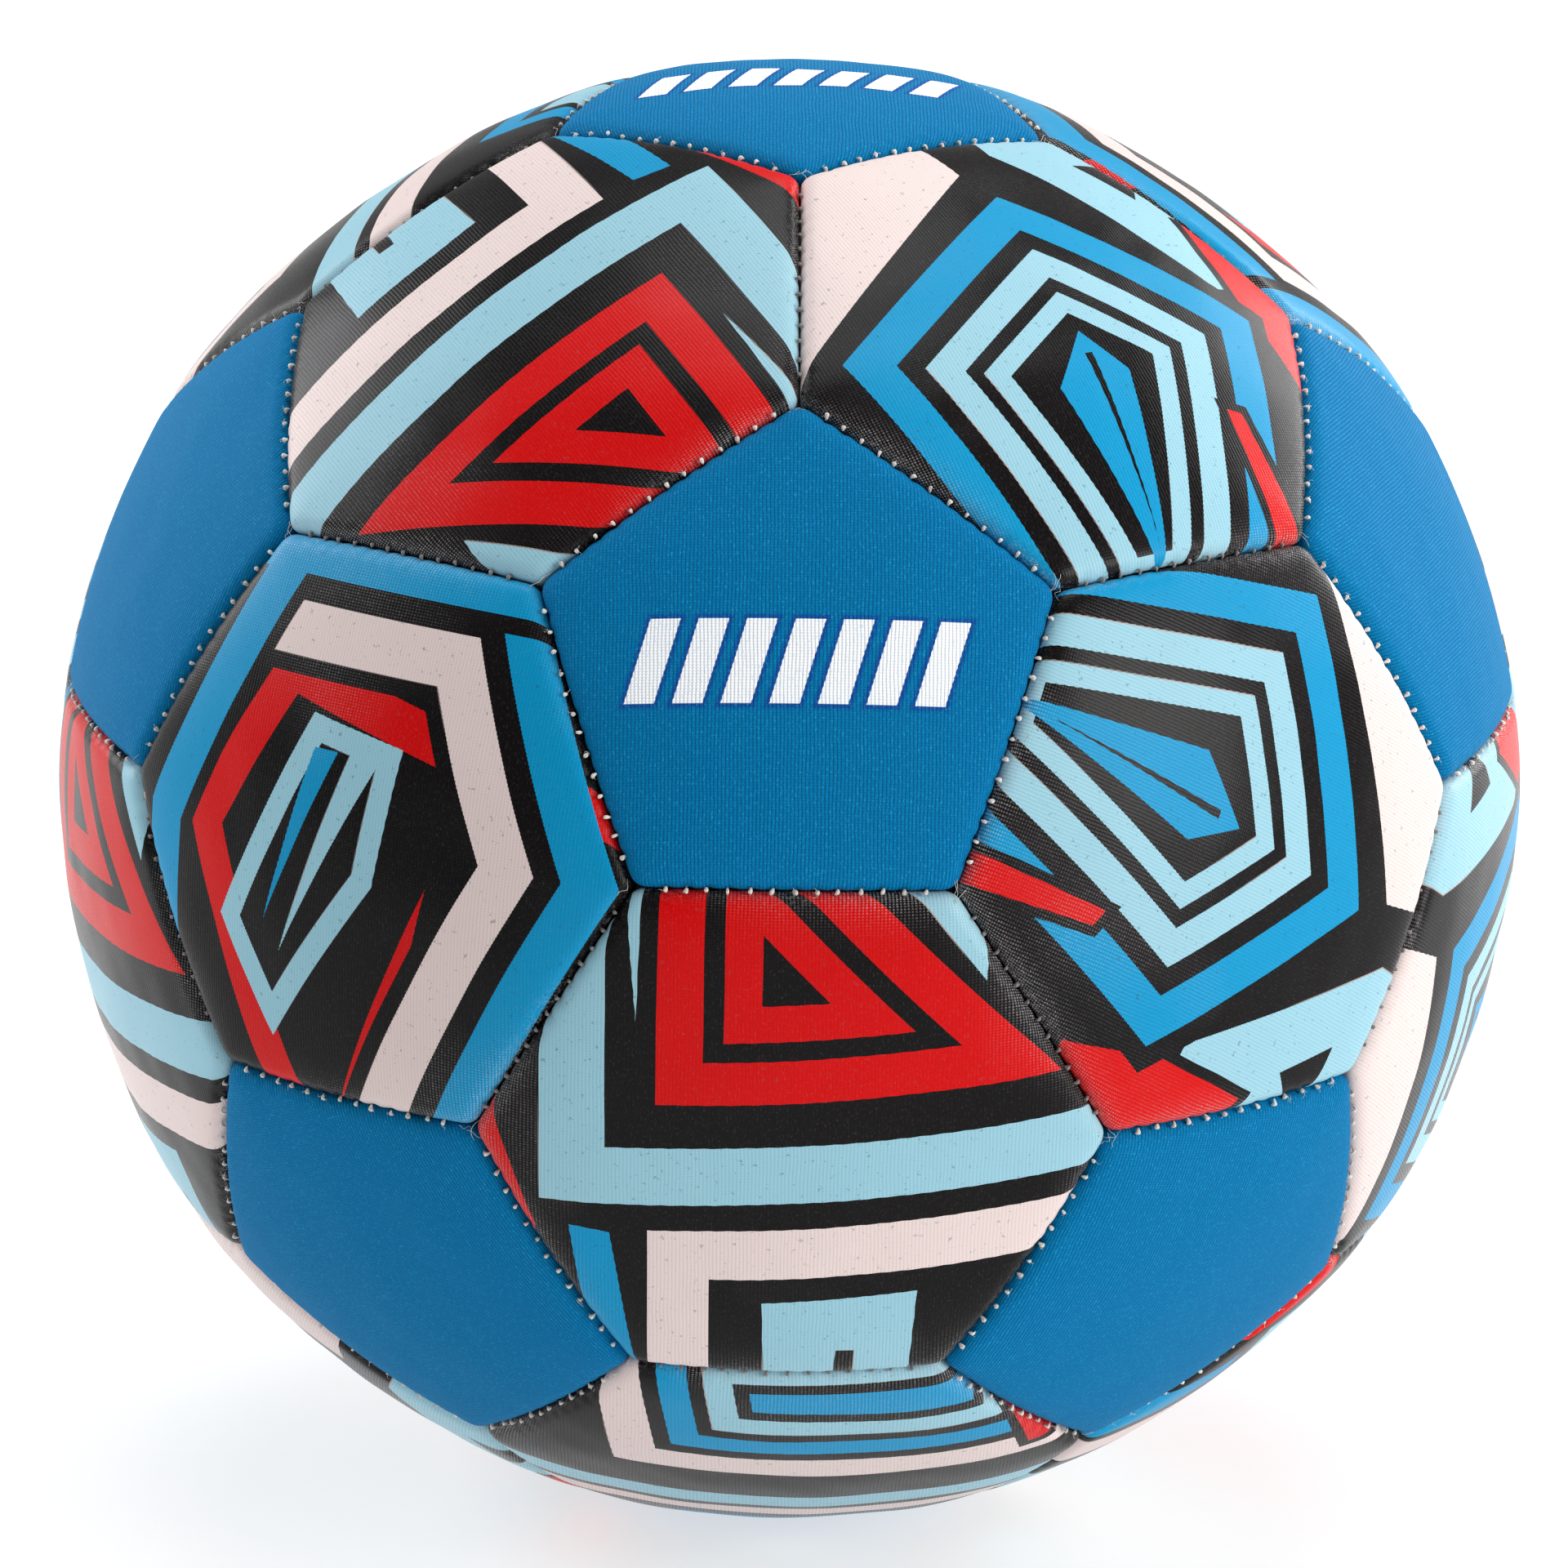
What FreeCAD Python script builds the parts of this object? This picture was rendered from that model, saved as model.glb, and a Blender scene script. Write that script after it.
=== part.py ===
"""A 32-panel stitched soccer ball: 12 pentagons and 20 hexagons round an inflated bladder with a needle valve.

Every panel is a foam-backed fabric plate with a slightly domed face, a rolled rim and a seam allowance that is
turned in, towards the ball's centre. A lining is bonded inside each panel. Lock stitches cross every seam.
The ball's frame has its origin at the centre and +Z through the middle of the top pentagon.
A master panel is built once in its own frame, where +Z is the panel's outward axis, and then cloned round the ball.
"""

import FreeCAD
import Part
import math
import os

# Alias, value in mm, what it is.
SIZES = [
    ("seam_radius", 110.8, "centre to the point where three seams meet"),
    ("dome_radius", 132.0, "radius of curvature of a panel's face"),
    ("panel_wall", 2.6, "thickness of the cover: fabric on foam"),
    ("seam_gap", 0.3, "gap between two neighbouring panels"),
    ("corner_round", 2.5, "rounding of a panel's corners in plan"),
    ("rim_round", 1.9, "radius of a panel's rolled rim"),
    ("allowance_wall", 1.8, "thickness of the turned-in seam allowance"),
    ("allowance_depth", 6.4, "depth of the seam allowance below the seam corners"),
    ("lining_wall", 0.6, "thickness of the lining behind each panel"),
    ("lining_clearance", 0.1, "gap between a lining and the seam allowance round it"),
    ("bladder_wall", 0.7, "thickness of the rubber bladder"),
    ("bladder_clearance", 0.3, "gap between the bladder and the seam allowances"),
    ("stitch_pitch", 3.0, "distance between two stitches along a seam"),
    ("stitch_depth", 0.8, "depth of a stitch's middle below the panels' rims"),
    ("stitch_end_gap", 3.2, "distance from a seam's end to its first stitch"),
    ("thread_diameter", 0.5, "diameter of the sewing thread"),
    ("valve_hole_radius", 3.1, "hole in the panel and its lining"),
    ("valve_clearance", 0.05, "gap round the valve's neck, stem and core"),
    ("valve_recess", 0.5, "depth of the valve's face below the panel's face"),
    ("patch_radius", 15.0, "reinforcement ring round the valve's base, outer radius"),
    ("patch_clearance", 0.2, "gap between the reinforcement ring and the valve's base"),
    ("patch_wall", 0.8, "thickness of the reinforcement ring"),
    ("base_radius", 10.0, "valve housing's base on the bladder, outer radius"),
    ("base_wall", 1.0, "thickness of the housing's base"),
    ("stem_radius", 5.0, "valve housing's stem inside the bladder"),
    ("stem_length", 18.0, "length of the stem below the bladder's outside"),
    ("core_radius", 2.15, "self-sealing valve core"),
    ("core_sink", 0.3, "depth of the core's face below the housing's face"),
    ("core_overhang", 1.2, "length of the core that shows below the stem"),
    ("rib_radius", 2.9, "retaining rib round the core"),
    ("rib_height", 1.4, "height of the retaining rib"),
    ("rib_depth", 10.0, "depth of the rib's top below the housing's face"),
    ("needle_radius", 1.0, "needle channel, which grips a standard 2 mm needle"),
    ("needle_depth", 16.0, "depth of the needle channel below the core's face"),
    ("funnel_depth", 0.7, "depth of the lead-in at the channel's mouth, and its widening"),
]

OUT = "parts"
TOLERANCE = 1e-3  # mm, for picking edges by their place
ICOSAHEDRON_LATITUDE = math.atan(0.5)  # of the two rings of pentagons
SOLID_CIRCUMRADIUS = math.sqrt(58 + 18 * math.sqrt(5)) / 4  # truncated icosahedron with edges of length 1
FIRST_AZIMUTH = -90.0  # degrees, the first upper pentagon faces -Y
STEP_ROUND = 72.0  # degrees between neighbours of one ring


class Outline:
    """The regular polygon of a panel, seen from the ball's centre."""

    def __init__(self, sides):
        corner = 1 / (2 * math.sin(math.pi / sides))
        distance = math.sqrt(SOLID_CIRCUMRADIUS**2 - corner**2)
        self.sides = sides
        self.corner_slope = corner / distance
        self.corner_angle = math.atan(self.corner_slope)
        self.side_angle = math.atan(self.corner_slope * math.cos(math.pi / sides))


PENTAGON = Outline(5)
HEXAGON = Outline(6)


def size_sheet(doc):
    """The spreadsheet of driving dimensions."""
    sheet = doc.addObject("Spreadsheet::Sheet", "Sizes")
    for row, (alias, value, meaning) in enumerate(SIZES, start=1):
        sheet.set(f"A{row}", alias)
        sheet.set(f"B{row}", str(value))
        sheet.set(f"C{row}", meaning)
        sheet.setAlias(f"B{row}", alias)
    doc.recompute()
    return sheet


def add(doc, kind, name, values=None, **formulas):
    """A document object whose properties are set to values or bound to formulas. z stands for its height."""
    made = doc.addObject(kind, name)
    for key, value in (values or {}).items():
        setattr(made, key, value)
    for key, formula in formulas.items():
        made.setExpression("Placement.Base.z" if key == "z" else key, formula)
    return made


def wedge(doc, outline, name, side_gap):
    """The pyramid from the ball's centre through a panel's outline, each side moved in by side_gap, a formula."""
    lift = f"({side_gap}) / {math.sin(outline.side_angle)}"
    ends = []
    for end, height in (("inner", "Sizes.seam_radius * 0.6"), ("outer", "Sizes.seam_radius * 1.1")):
        ends.append(
            add(
                doc,
                "Part::RegularPolygon",
                f"{name}_{end}_end",
                {"Polygon": outline.sides},
                Circumradius=f"{outline.corner_slope} * ({height} - {lift})",
                z=height,
            )
        )
    return add(doc, "Part::Loft", name, {"Sections": ends, "Solid": True, "Ruled": True})


def dome_centre(outline):
    """Formula for the height of the centre of a panel's face, which passes through the seam corners."""
    corner_height = f"Sizes.seam_radius * {math.cos(outline.corner_angle)}"
    corner_reach = f"Sizes.seam_radius * {math.sin(outline.corner_angle)}"
    return f"({corner_height} - sqrt(Sizes.dome_radius ^ 2 - ({corner_reach}) ^ 2))"


def orb(doc, name, radius, height="0"):
    """A sphere with its centre on the Z axis. Its seam is turned to the bottom, away from the panel's face."""
    made = add(doc, "Part::Sphere", name)
    made.Placement.Rotation = FreeCAD.Rotation(FreeCAD.Vector(0, 1, 0), 90)
    made.setExpression("Radius", radius)
    made.setExpression("Placement.Base.z", height)
    return made


def dome(doc, outline, name, depth):
    """A ball whose surface is the panel's face, or lies under it by depth, a formula."""
    return orb(doc, name, f"Sizes.dome_radius - ({depth})", dome_centre(outline))


def combine(doc, kind, name, base, tool):
    return add(doc, kind, name, {"Base": base, "Tool": tool})


def body_from(doc, name, base):
    """A PartDesign body that starts from another object's shape."""
    body = doc.addObject("PartDesign::Body", name)
    start = body.newObject("PartDesign::FeatureBase", f"{name}_start")
    start.BaseFeature = base
    body.Tip = start
    return body


def fillet(doc, body, name, radius, chosen):
    """A PartDesign fillet of the edges that chosen picks."""
    doc.recompute()
    base = body.Tip
    edges = [
        f"Edge{i}"
        for i, edge in enumerate(base.Shape.Edges, start=1)
        if not edge.Degenerated and chosen(edge)
    ]
    made = body.newObject("PartDesign::Fillet", name)
    made.Base = (base, edges)
    made.setExpression("Radius", radius)
    body.Tip = made
    doc.recompute()


def outer_corner(outline, lift):
    """Picks the straight edges where two outer sides of a panel meet."""

    def chosen(edge):
        return all(
            abs(math.hypot(p.x, p.y) - outline.corner_slope * (p.z - lift)) < TOLERANCE
            for p in edge.discretize(Number=3)
        )

    return chosen


def on_sphere(centre_height, radius):
    """Picks the edges that lie on a sphere about a point of the Z axis."""
    centre = FreeCAD.Vector(0, 0, centre_height)

    def chosen(edge):
        points = edge.discretize(Number=3)
        return all(abs((p - centre).Length - radius) < TOLERANCE for p in points)

    return chosen


def panel(doc, sheet, outline, name):
    """The master of one kind of panel: domed plate, turned-in seam allowance, rounded corners, rolled rim."""
    outer_gap = "Sizes.seam_gap / 2"
    inner_gap = "Sizes.seam_gap / 2 + Sizes.allowance_wall"
    blank = combine(
        doc,
        "Part::Common",
        f"{name}_blank",
        wedge(doc, outline, f"{name}_outside", outer_gap),
        dome(doc, outline, f"{name}_face", "0"),
    )
    middle = orb(doc, f"{name}_middle", "Sizes.seam_radius - Sizes.allowance_depth")
    plate = combine(doc, "Part::Cut", f"{name}_plate", blank, middle)
    hollow = combine(
        doc,
        "Part::Common",
        f"{name}_hollow",
        wedge(doc, outline, f"{name}_inside", inner_gap),
        dome(doc, outline, f"{name}_back", "Sizes.panel_wall"),
    )
    body = body_from(doc, name, combine(doc, "Part::Cut", f"{name}_sharp", plate, hollow))
    doc.recompute()
    lift = sheet.seam_gap / 2 / math.sin(outline.side_angle)
    fillet(doc, body, f"{name}_corners", "Sizes.corner_round", outer_corner(outline, lift))
    centre_height = doc.getObject(f"{name}_face").Placement.Base.z
    fillet(doc, body, f"{name}_rim", "Sizes.rim_round", on_sphere(centre_height, sheet.dome_radius))
    return body


def lining(doc, outline, name):
    """The master of one kind of lining, bonded to the back of its panel, inside the seam allowance."""
    depth = "Sizes.panel_wall"
    sheet_of_cloth = combine(
        doc,
        "Part::Cut",
        f"{name}_layer",
        dome(doc, outline, f"{name}_front", depth),
        dome(doc, outline, f"{name}_rear", f"{depth} + Sizes.lining_wall"),
    )
    gap = "Sizes.seam_gap / 2 + Sizes.allowance_wall + Sizes.lining_clearance"
    cut = combine(
        doc, "Part::Common", f"{name}_cut", wedge(doc, outline, f"{name}_outline", gap), sheet_of_cloth
    )
    return body_from(doc, name, cut)


def unit(azimuth, latitude):
    """The direction with this azimuth and latitude, in degrees."""
    turn, rise = math.radians(azimuth), math.radians(latitude)
    return FreeCAD.Vector(
        math.cos(turn) * math.cos(rise), math.sin(turn) * math.cos(rise), math.sin(rise)
    )


def aligned(outward, along):
    """The placement at the ball's centre with +Z along outward and +X as near to along as it can be."""
    z = FreeCAD.Vector(outward).normalize()
    x = (along - z * along.dot(z)).normalize()
    return FreeCAD.Placement(FreeCAD.Vector(), FreeCAD.Rotation(x, z.cross(x), z, "ZXY"))


def pentagon_axes():
    """{name: outward direction} of the 12 pentagons, which are an icosahedron's corners."""
    ring = math.degrees(ICOSAHEDRON_LATITUDE)
    axes = {"top": unit(0, 90)}
    for k in range(5):
        axes[f"upper_{k + 1}"] = unit(FIRST_AZIMUTH + STEP_ROUND * k, ring)
    for k in range(5):
        axes[f"lower_{k + 1}"] = unit(FIRST_AZIMUTH + STEP_ROUND * (k + 0.5), -ring)
    axes["bottom"] = unit(0, -90)
    return axes


def neighbours(axes, name):
    """The names of the pentagons that are one icosahedron edge away."""
    edge = math.cos(math.pi / 2 - ICOSAHEDRON_LATITUDE)
    return [other for other in axes if other != name and axes[name].dot(axes[other]) > edge - 0.01]


def pentagon_places(axes):
    """{name: placement} of the pentagons. A pentagon's corners point towards its neighbours."""
    return {name: aligned(axis, axes[neighbours(axes, name)[0]]) for name, axis in axes.items()}


def hexagon_places(axes):
    """{name: placement} of the 20 hexagons, each in the middle of three pentagons."""
    rings = {"top": [], "upper": [], "lower": [], "bottom": []}
    names = list(axes)
    for i, a in enumerate(names):
        for j, b in enumerate(names[i + 1 :], start=i + 1):
            for c in names[j + 1 :]:
                if b in neighbours(axes, a) and c in neighbours(axes, a) and c in neighbours(axes, b):
                    middle = (axes[a] + axes[b] + axes[c]).normalize()
                    ring = "top" if middle.z > 0.5 else "upper" if middle.z > 0 else "lower"
                    rings["bottom" if middle.z < -0.5 else ring].append(middle)
    places = {}
    for ring, middles in rings.items():
        middles.sort(key=lambda m: (math.degrees(math.atan2(m.y, m.x)) - FIRST_AZIMUTH + 1) % 360)
        for k, middle in enumerate(middles, start=1):
            east = FreeCAD.Vector(0, 0, 1).cross(middle)
            places[f"{ring}_{k}"] = aligned(middle, east)
    return places


def corner_direction(axes, near, far):
    """The seam corner of pentagon near that points to pentagon far."""
    return (axes[near] * 2 + axes[far]).normalize()


def seam_place(start, end, inner):
    """The frame of a seam: +Z through its middle, +X along it and +Y away from the direction inner."""
    middle = (start + end).normalize()
    along = end - start
    if middle.cross(along).dot(inner) > 0:
        along = along * -1
    return aligned(middle, along)


def pentagon_seams(axes):
    """{pentagon's name: the frames of its five seams}"""
    seams = {}
    for name in axes:
        near = neighbours(axes, name)
        seams[name] = [
            seam_place(corner_direction(axes, name, a), corner_direction(axes, name, b), axes[name])
            for i, a in enumerate(near)
            for b in near[i + 1 :]
            if b in neighbours(axes, a)
        ]
    return seams


def hexagon_seams(axes):
    """{ring's name: the frames of the seams between two hexagons}"""
    seams = {"top": [], "upper": [], "middle": [], "lower": [], "bottom": []}
    names = list(axes)
    for i, a in enumerate(names):
        for b in names[i + 1 :]:
            if b not in neighbours(axes, a):
                continue
            height = axes[a].z + axes[b].z
            if abs(height) < 0.1:
                ring = "middle"
            elif height > 0:
                ring = "top" if "top" in (a, b) else "upper"
            else:
                ring = "bottom" if "bottom" in (a, b) else "lower"
            side = axes[a].cross(axes[b])
            seams[ring].append(
                seam_place(corner_direction(axes, a, b), corner_direction(axes, b, a), side)
            )
    return seams


def groove_values(sheet, outline):
    """A panel's section across the middle of its side: x is the distance from the seam's plane, y the height.

    Gives the centre of the face's arc, and the centre of the rim's arc.
    """
    face = sheet.dome_radius
    corner_height = sheet.seam_radius * math.cos(outline.corner_angle)
    corner_reach = sheet.seam_radius * math.sin(outline.corner_angle)
    height = corner_height - math.sqrt(face**2 - corner_reach**2)
    centre = (height * math.sin(outline.side_angle), height * math.cos(outline.side_angle))
    rim_x = sheet.seam_gap / 2 + sheet.rim_round
    rim_y = centre[1] + math.sqrt((face - sheet.rim_round) ** 2 - (rim_x - centre[0]) ** 2)
    return centre, (rim_x, rim_y)


def groove_half_width(sheet, outline, height):
    """Distance from the seam's plane to the rim at this height, at the middle of a seam."""
    _, (rim_x, rim_y) = groove_values(sheet, outline)
    return rim_x - math.sqrt(sheet.rim_round ** 2 - (height - rim_y) ** 2)


def stitch_row(doc, sheet, outline, name):
    """The stitches of one seam, in the seam's frame. outline is that of the panel on the -Y side."""
    (face_x, face_y), _ = groove_values(sheet, outline)
    arc = math.sqrt(sheet.dome_radius ** 2 - face_x**2)
    seam_length = sheet.seam_radius / SOLID_CIRCUMRADIUS
    room = seam_length - 2 * sheet.stitch_end_gap
    count = int(room / sheet.stitch_pitch) + 1
    height = face_y + arc - sheet.stitch_depth
    underside = height - sheet.thread_diameter / 2
    inner = groove_half_width(sheet, outline, underside)
    outer = groove_half_width(sheet, HEXAGON, underside)
    made = []
    for i in range(count):
        turn = math.degrees(sheet.stitch_pitch / arc) * (i - (count - 1) / 2)
        stitch = add(
            doc,
            "Part::Cylinder",
            f"{name}_{i + 1}",
            {"Height": inner + outer},
            Radius="Sizes.thread_diameter / 2",
        )
        swing = FreeCAD.Rotation(FreeCAD.Vector(0, 1, 0), turn)
        hinge = FreeCAD.Vector(0, 0, face_y)
        place = hinge + swing.multVec(FreeCAD.Vector(0, 0, height - face_y))
        lay = swing.multiply(FreeCAD.Rotation(FreeCAD.Vector(1, 0, 0), -90))
        stitch.Placement = FreeCAD.Placement(place - FreeCAD.Vector(0, inner, 0), lay)
        made.append(stitch)
    return add(doc, "Part::Compound", name, {"Links": made})


def clone(doc, name, source, place):
    """A body that repeats another object's shape at a new placement."""
    body = body_from(doc, name, source)
    body.Placement = place
    return body


def group(doc, name, source, places):
    """One compound of copies of source, one at each placement."""
    links = []
    for i, place in enumerate(places, start=1):
        link = doc.addObject("App::Link", f"{name}_{i}")
        link.LinkedObject = source
        link.LinkTransform = False
        link.Placement = place
        links.append(link)
    return add(doc, "Part::Compound", name, {"Links": links})


def tube(doc, name, radius, bottom, top):
    """A cylinder along the Z axis. Every argument but the name is a formula."""
    return add(doc, "Part::Cylinder", name, Radius=radius, Height=f"({top}) - ({bottom})", z=bottom)


def valve(doc):
    """The valve's parts, on the +Z axis of a pentagon: {name: object}."""
    face = f"({dome_centre(PENTAGON)} + Sizes.dome_radius)"
    outside = "(Sizes.seam_radius - Sizes.allowance_depth - Sizes.bladder_clearance)"
    housing_top = f"({face} - Sizes.valve_recess)"
    stem_end = f"({outside} - Sizes.stem_length)"
    core_top = f"({housing_top} - Sizes.core_sink)"
    core_end = f"({stem_end} - Sizes.core_overhang)"
    rib_top = f"({housing_top} - Sizes.rib_depth)"
    rib_end = f"({rib_top} - Sizes.rib_height)"
    clear = "Sizes.valve_clearance"

    disc = combine(
        doc,
        "Part::Common",
        "base_disc",
        tube(doc, "base_blank", "Sizes.base_radius", f"{outside} * 0.9", face),
        orb(doc, "base_top", f"{outside} + Sizes.base_wall"),
    )
    base = combine(doc, "Part::Cut", "valve_base", disc, orb(doc, "base_underside", outside))
    stem = tube(doc, "valve_stem", "Sizes.stem_radius", stem_end, outside)
    neck = tube(doc, "valve_neck", f"Sizes.valve_hole_radius - {clear}", stem_end, housing_top)
    boot = add(doc, "Part::MultiFuse", "valve_boot", {"Shapes": [base, stem, neck]})
    bore = tube(doc, "core_bore", f"Sizes.core_radius + {clear}", f"{core_end} - 1", f"{face} + 1")
    groove = tube(
        doc, "rib_groove", f"Sizes.rib_radius + {clear}", f"{rib_end} - {clear}", f"{rib_top} + {clear}"
    )
    socket = add(doc, "Part::MultiFuse", "core_socket", {"Shapes": [bore, groove]})
    housing = combine(doc, "Part::Cut", "housing", boot, socket)

    plug = tube(doc, "core_plug", "Sizes.core_radius", core_end, core_top)
    rib = tube(doc, "core_rib", "Sizes.rib_radius", rib_end, rib_top)
    solid = add(doc, "Part::MultiFuse", "core_solid", {"Shapes": [plug, rib]})
    channel_end = f"({core_top} - Sizes.needle_depth)"
    channel = tube(doc, "needle_channel", "Sizes.needle_radius", channel_end, f"{core_top} + 1")
    funnel = add(
        doc,
        "Part::Cone",
        "needle_funnel",
        Radius1="Sizes.needle_radius",
        Radius2="Sizes.needle_radius + Sizes.funnel_depth",
        Height="Sizes.funnel_depth",
        z=f"{core_top} - Sizes.funnel_depth",
    )
    entry = add(doc, "Part::MultiFuse", "needle_entry", {"Shapes": [channel, funnel]})
    core = combine(doc, "Part::Cut", "core", solid, entry)

    depth = "Sizes.panel_wall + Sizes.lining_wall"
    layer = combine(
        doc,
        "Part::Cut",
        "patch_layer",
        dome(doc, PENTAGON, "patch_front", depth),
        dome(doc, PENTAGON, "patch_rear", f"{depth} + Sizes.patch_wall"),
    )
    ring = combine(
        doc,
        "Part::Cut",
        "patch_ring",
        tube(doc, "patch_blank", "Sizes.patch_radius", f"{outside} * 0.9", face),
        tube(
            doc,
            "patch_hole",
            "Sizes.base_radius + Sizes.patch_clearance",
            f"{outside} * 0.8",
            f"{face} + 1",
        ),
    )
    return {
        "housing": housing,
        "core": core,
        "patch": combine(doc, "Part::Common", "patch", ring, layer),
    }


def bladder(doc, place):
    """The inflated bladder, with a hole for the valve's stem."""
    outside = "(Sizes.seam_radius - Sizes.allowance_depth - Sizes.bladder_clearance)"
    shell = combine(
        doc,
        "Part::Cut",
        "bladder_shell",
        orb(doc, "bladder_outside", outside),
        orb(doc, "bladder_inside", f"{outside} - Sizes.bladder_wall"),
    )
    hole = tube(
        doc,
        "bladder_hole",
        "Sizes.stem_radius + Sizes.valve_clearance",
        f"{outside} * 0.8",
        f"{outside} * 1.1",
    )
    return clone(doc, "bladder", combine(doc, "Part::Cut", "bladder_cut", shell, hole), place)


def build(doc):
    """Builds every sub-part and returns them in a list. An object's name is its node's name."""
    sheet = size_sheet(doc)
    axes = pentagon_axes()
    pentagons, hexagons = pentagon_places(axes), hexagon_places(axes)
    valve_at = "lower_3"

    pentagon = panel(doc, sheet, PENTAGON, "pentagon_master")
    hexagon = panel(doc, sheet, HEXAGON, "hexagon_master")
    pentagon_back = lining(doc, PENTAGON, "pentagon_lining_master")
    hexagon_back = lining(doc, HEXAGON, "hexagon_lining_master")
    hole = tube(
        doc, "valve_hole", "Sizes.valve_hole_radius", "Sizes.seam_radius * 0.9", "Sizes.seam_radius * 1.1"
    )
    pierced = combine(doc, "Part::Cut", "pierced_panel", pentagon, hole)
    pierced_back = combine(doc, "Part::Cut", "pierced_lining", pentagon_back, hole)

    nodes = []
    for name, place in pentagons.items():
        source = pierced if name == valve_at else pentagon
        nodes.append(clone(doc, f"pentagon_panel_{name}", source, place))
    for name, place in hexagons.items():
        nodes.append(clone(doc, f"hexagon_panel_{name}", hexagon, place))

    whole = [place for name, place in pentagons.items() if name != valve_at]
    linings = group(doc, "pentagon_linings_plain", pentagon_back, whole)
    last = clone(doc, "pentagon_lining_pierced", pierced_back, pentagons[valve_at])
    nodes.append(add(doc, "Part::Compound", "pentagon_linings", {"Links": [linings, last]}))
    nodes.append(group(doc, "hexagon_linings", hexagon_back, hexagons.values()))

    row = stitch_row(doc, sheet, PENTAGON, "pentagon_row")
    for name, places in pentagon_seams(axes).items():
        nodes.append(group(doc, f"pentagon_stitches_{name}", row, places))
    row = stitch_row(doc, sheet, HEXAGON, "hexagon_row")
    for name, places in hexagon_seams(axes).items():
        nodes.append(group(doc, f"hexagon_stitches_{name}", row, places))

    nodes.append(bladder(doc, pentagons[valve_at]))
    for name, source in valve(doc).items():
        nodes.append(clone(doc, f"valve_{name}", source, pentagons[valve_at]))
    return nodes


def main():
    doc = FreeCAD.newDocument("soccer_ball")
    nodes = build(doc)
    doc.recompute()
    bad = [o.Name for o in doc.Objects if {"Invalid", "Error"} & set(o.State)]
    if bad:
        raise RuntimeError(f"these objects failed: {bad}")
    for node in nodes:
        if node.Shape.isNull() or not node.Shape.isValid():
            raise RuntimeError(f"{node.Name} has no valid shape")
    os.makedirs(OUT, exist_ok=True)
    for node in nodes:
        node.Shape.exportStep(f"{OUT}/{node.Label}.step")
        print(node.Label, len(node.Shape.Solids), "solids", round(node.Shape.Volume, 1), "mm3")


main()
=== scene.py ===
"""A stitched 32-panel soccer ball: printed and plain knit panels, stitches, loose fibres and a studio.

The ball's centre is the origin and +Z goes through the middle of the top pentagon. Lengths are in metres.
"""

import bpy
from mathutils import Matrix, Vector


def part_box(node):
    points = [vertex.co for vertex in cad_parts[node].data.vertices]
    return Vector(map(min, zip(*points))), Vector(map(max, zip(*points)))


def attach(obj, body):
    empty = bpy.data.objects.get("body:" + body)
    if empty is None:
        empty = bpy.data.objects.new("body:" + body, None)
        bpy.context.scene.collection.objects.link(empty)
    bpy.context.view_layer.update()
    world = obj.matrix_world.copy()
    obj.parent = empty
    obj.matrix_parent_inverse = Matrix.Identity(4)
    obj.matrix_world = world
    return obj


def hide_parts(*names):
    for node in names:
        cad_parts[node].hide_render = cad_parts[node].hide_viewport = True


bl_info = {
    "name": "Stitched Panel Ball",
    "version": (1, 0, 0),
    "blender": (4, 5, 0),
    "location": "3D View > Sidebar > Stitched Ball",
    "description": "A soccer ball of plain and printed knit panels, stitched round a bladder with a valve",
    "category": "Object",
}

import bpy
import math
import numpy as np
from itertools import combinations
from mathutils import Matrix, Vector

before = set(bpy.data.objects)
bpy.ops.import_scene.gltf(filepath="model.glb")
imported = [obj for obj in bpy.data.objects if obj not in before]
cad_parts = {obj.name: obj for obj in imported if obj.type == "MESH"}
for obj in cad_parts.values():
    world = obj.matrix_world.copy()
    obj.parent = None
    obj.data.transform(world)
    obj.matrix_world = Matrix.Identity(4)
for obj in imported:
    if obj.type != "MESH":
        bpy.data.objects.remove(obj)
bpy.context.view_layer.update()

MM = 0.001
FACE_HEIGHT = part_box("pentagon_panel_top")[1].z  # from the ball's centre to the middle of a pentagon
FLOOR_HEIGHT = -FACE_HEIGHT

ICOSAHEDRON_LATITUDE = math.atan(0.5)  # of the two rings of pentagons
SOLID_CIRCUMRADIUS = math.sqrt(58 + 18 * math.sqrt(5)) / 4  # truncated icosahedron with edges of length 1
FIRST_AZIMUTH = -90.0  # degrees, the first upper pentagon faces -Y
STEP_ROUND = 72.0  # degrees between neighbours of one ring

PANEL_MAP = "Panel"  # UV map of a panel's own plane
RIM = "Rim"  # attribute: 1 at a seam, falling to 0 on the panel's face
PANEL_SPAN = 120.0  # mm that the UV map's unit square covers
AIR_PRESSURE = 2.0  # of the cloth simulation that inflates a panel
CLOTH_FRAMES = 14
LIFT_CAP = 0.5 * MM
KNIT_WALE = 0.52  # mm from one column of loops to the next
KNIT_COURSE = 0.41  # mm from one row of loops to the next
PRINT_DEPTH = 40.0  # mm in from a shape's edge that its bands may reach

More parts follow.
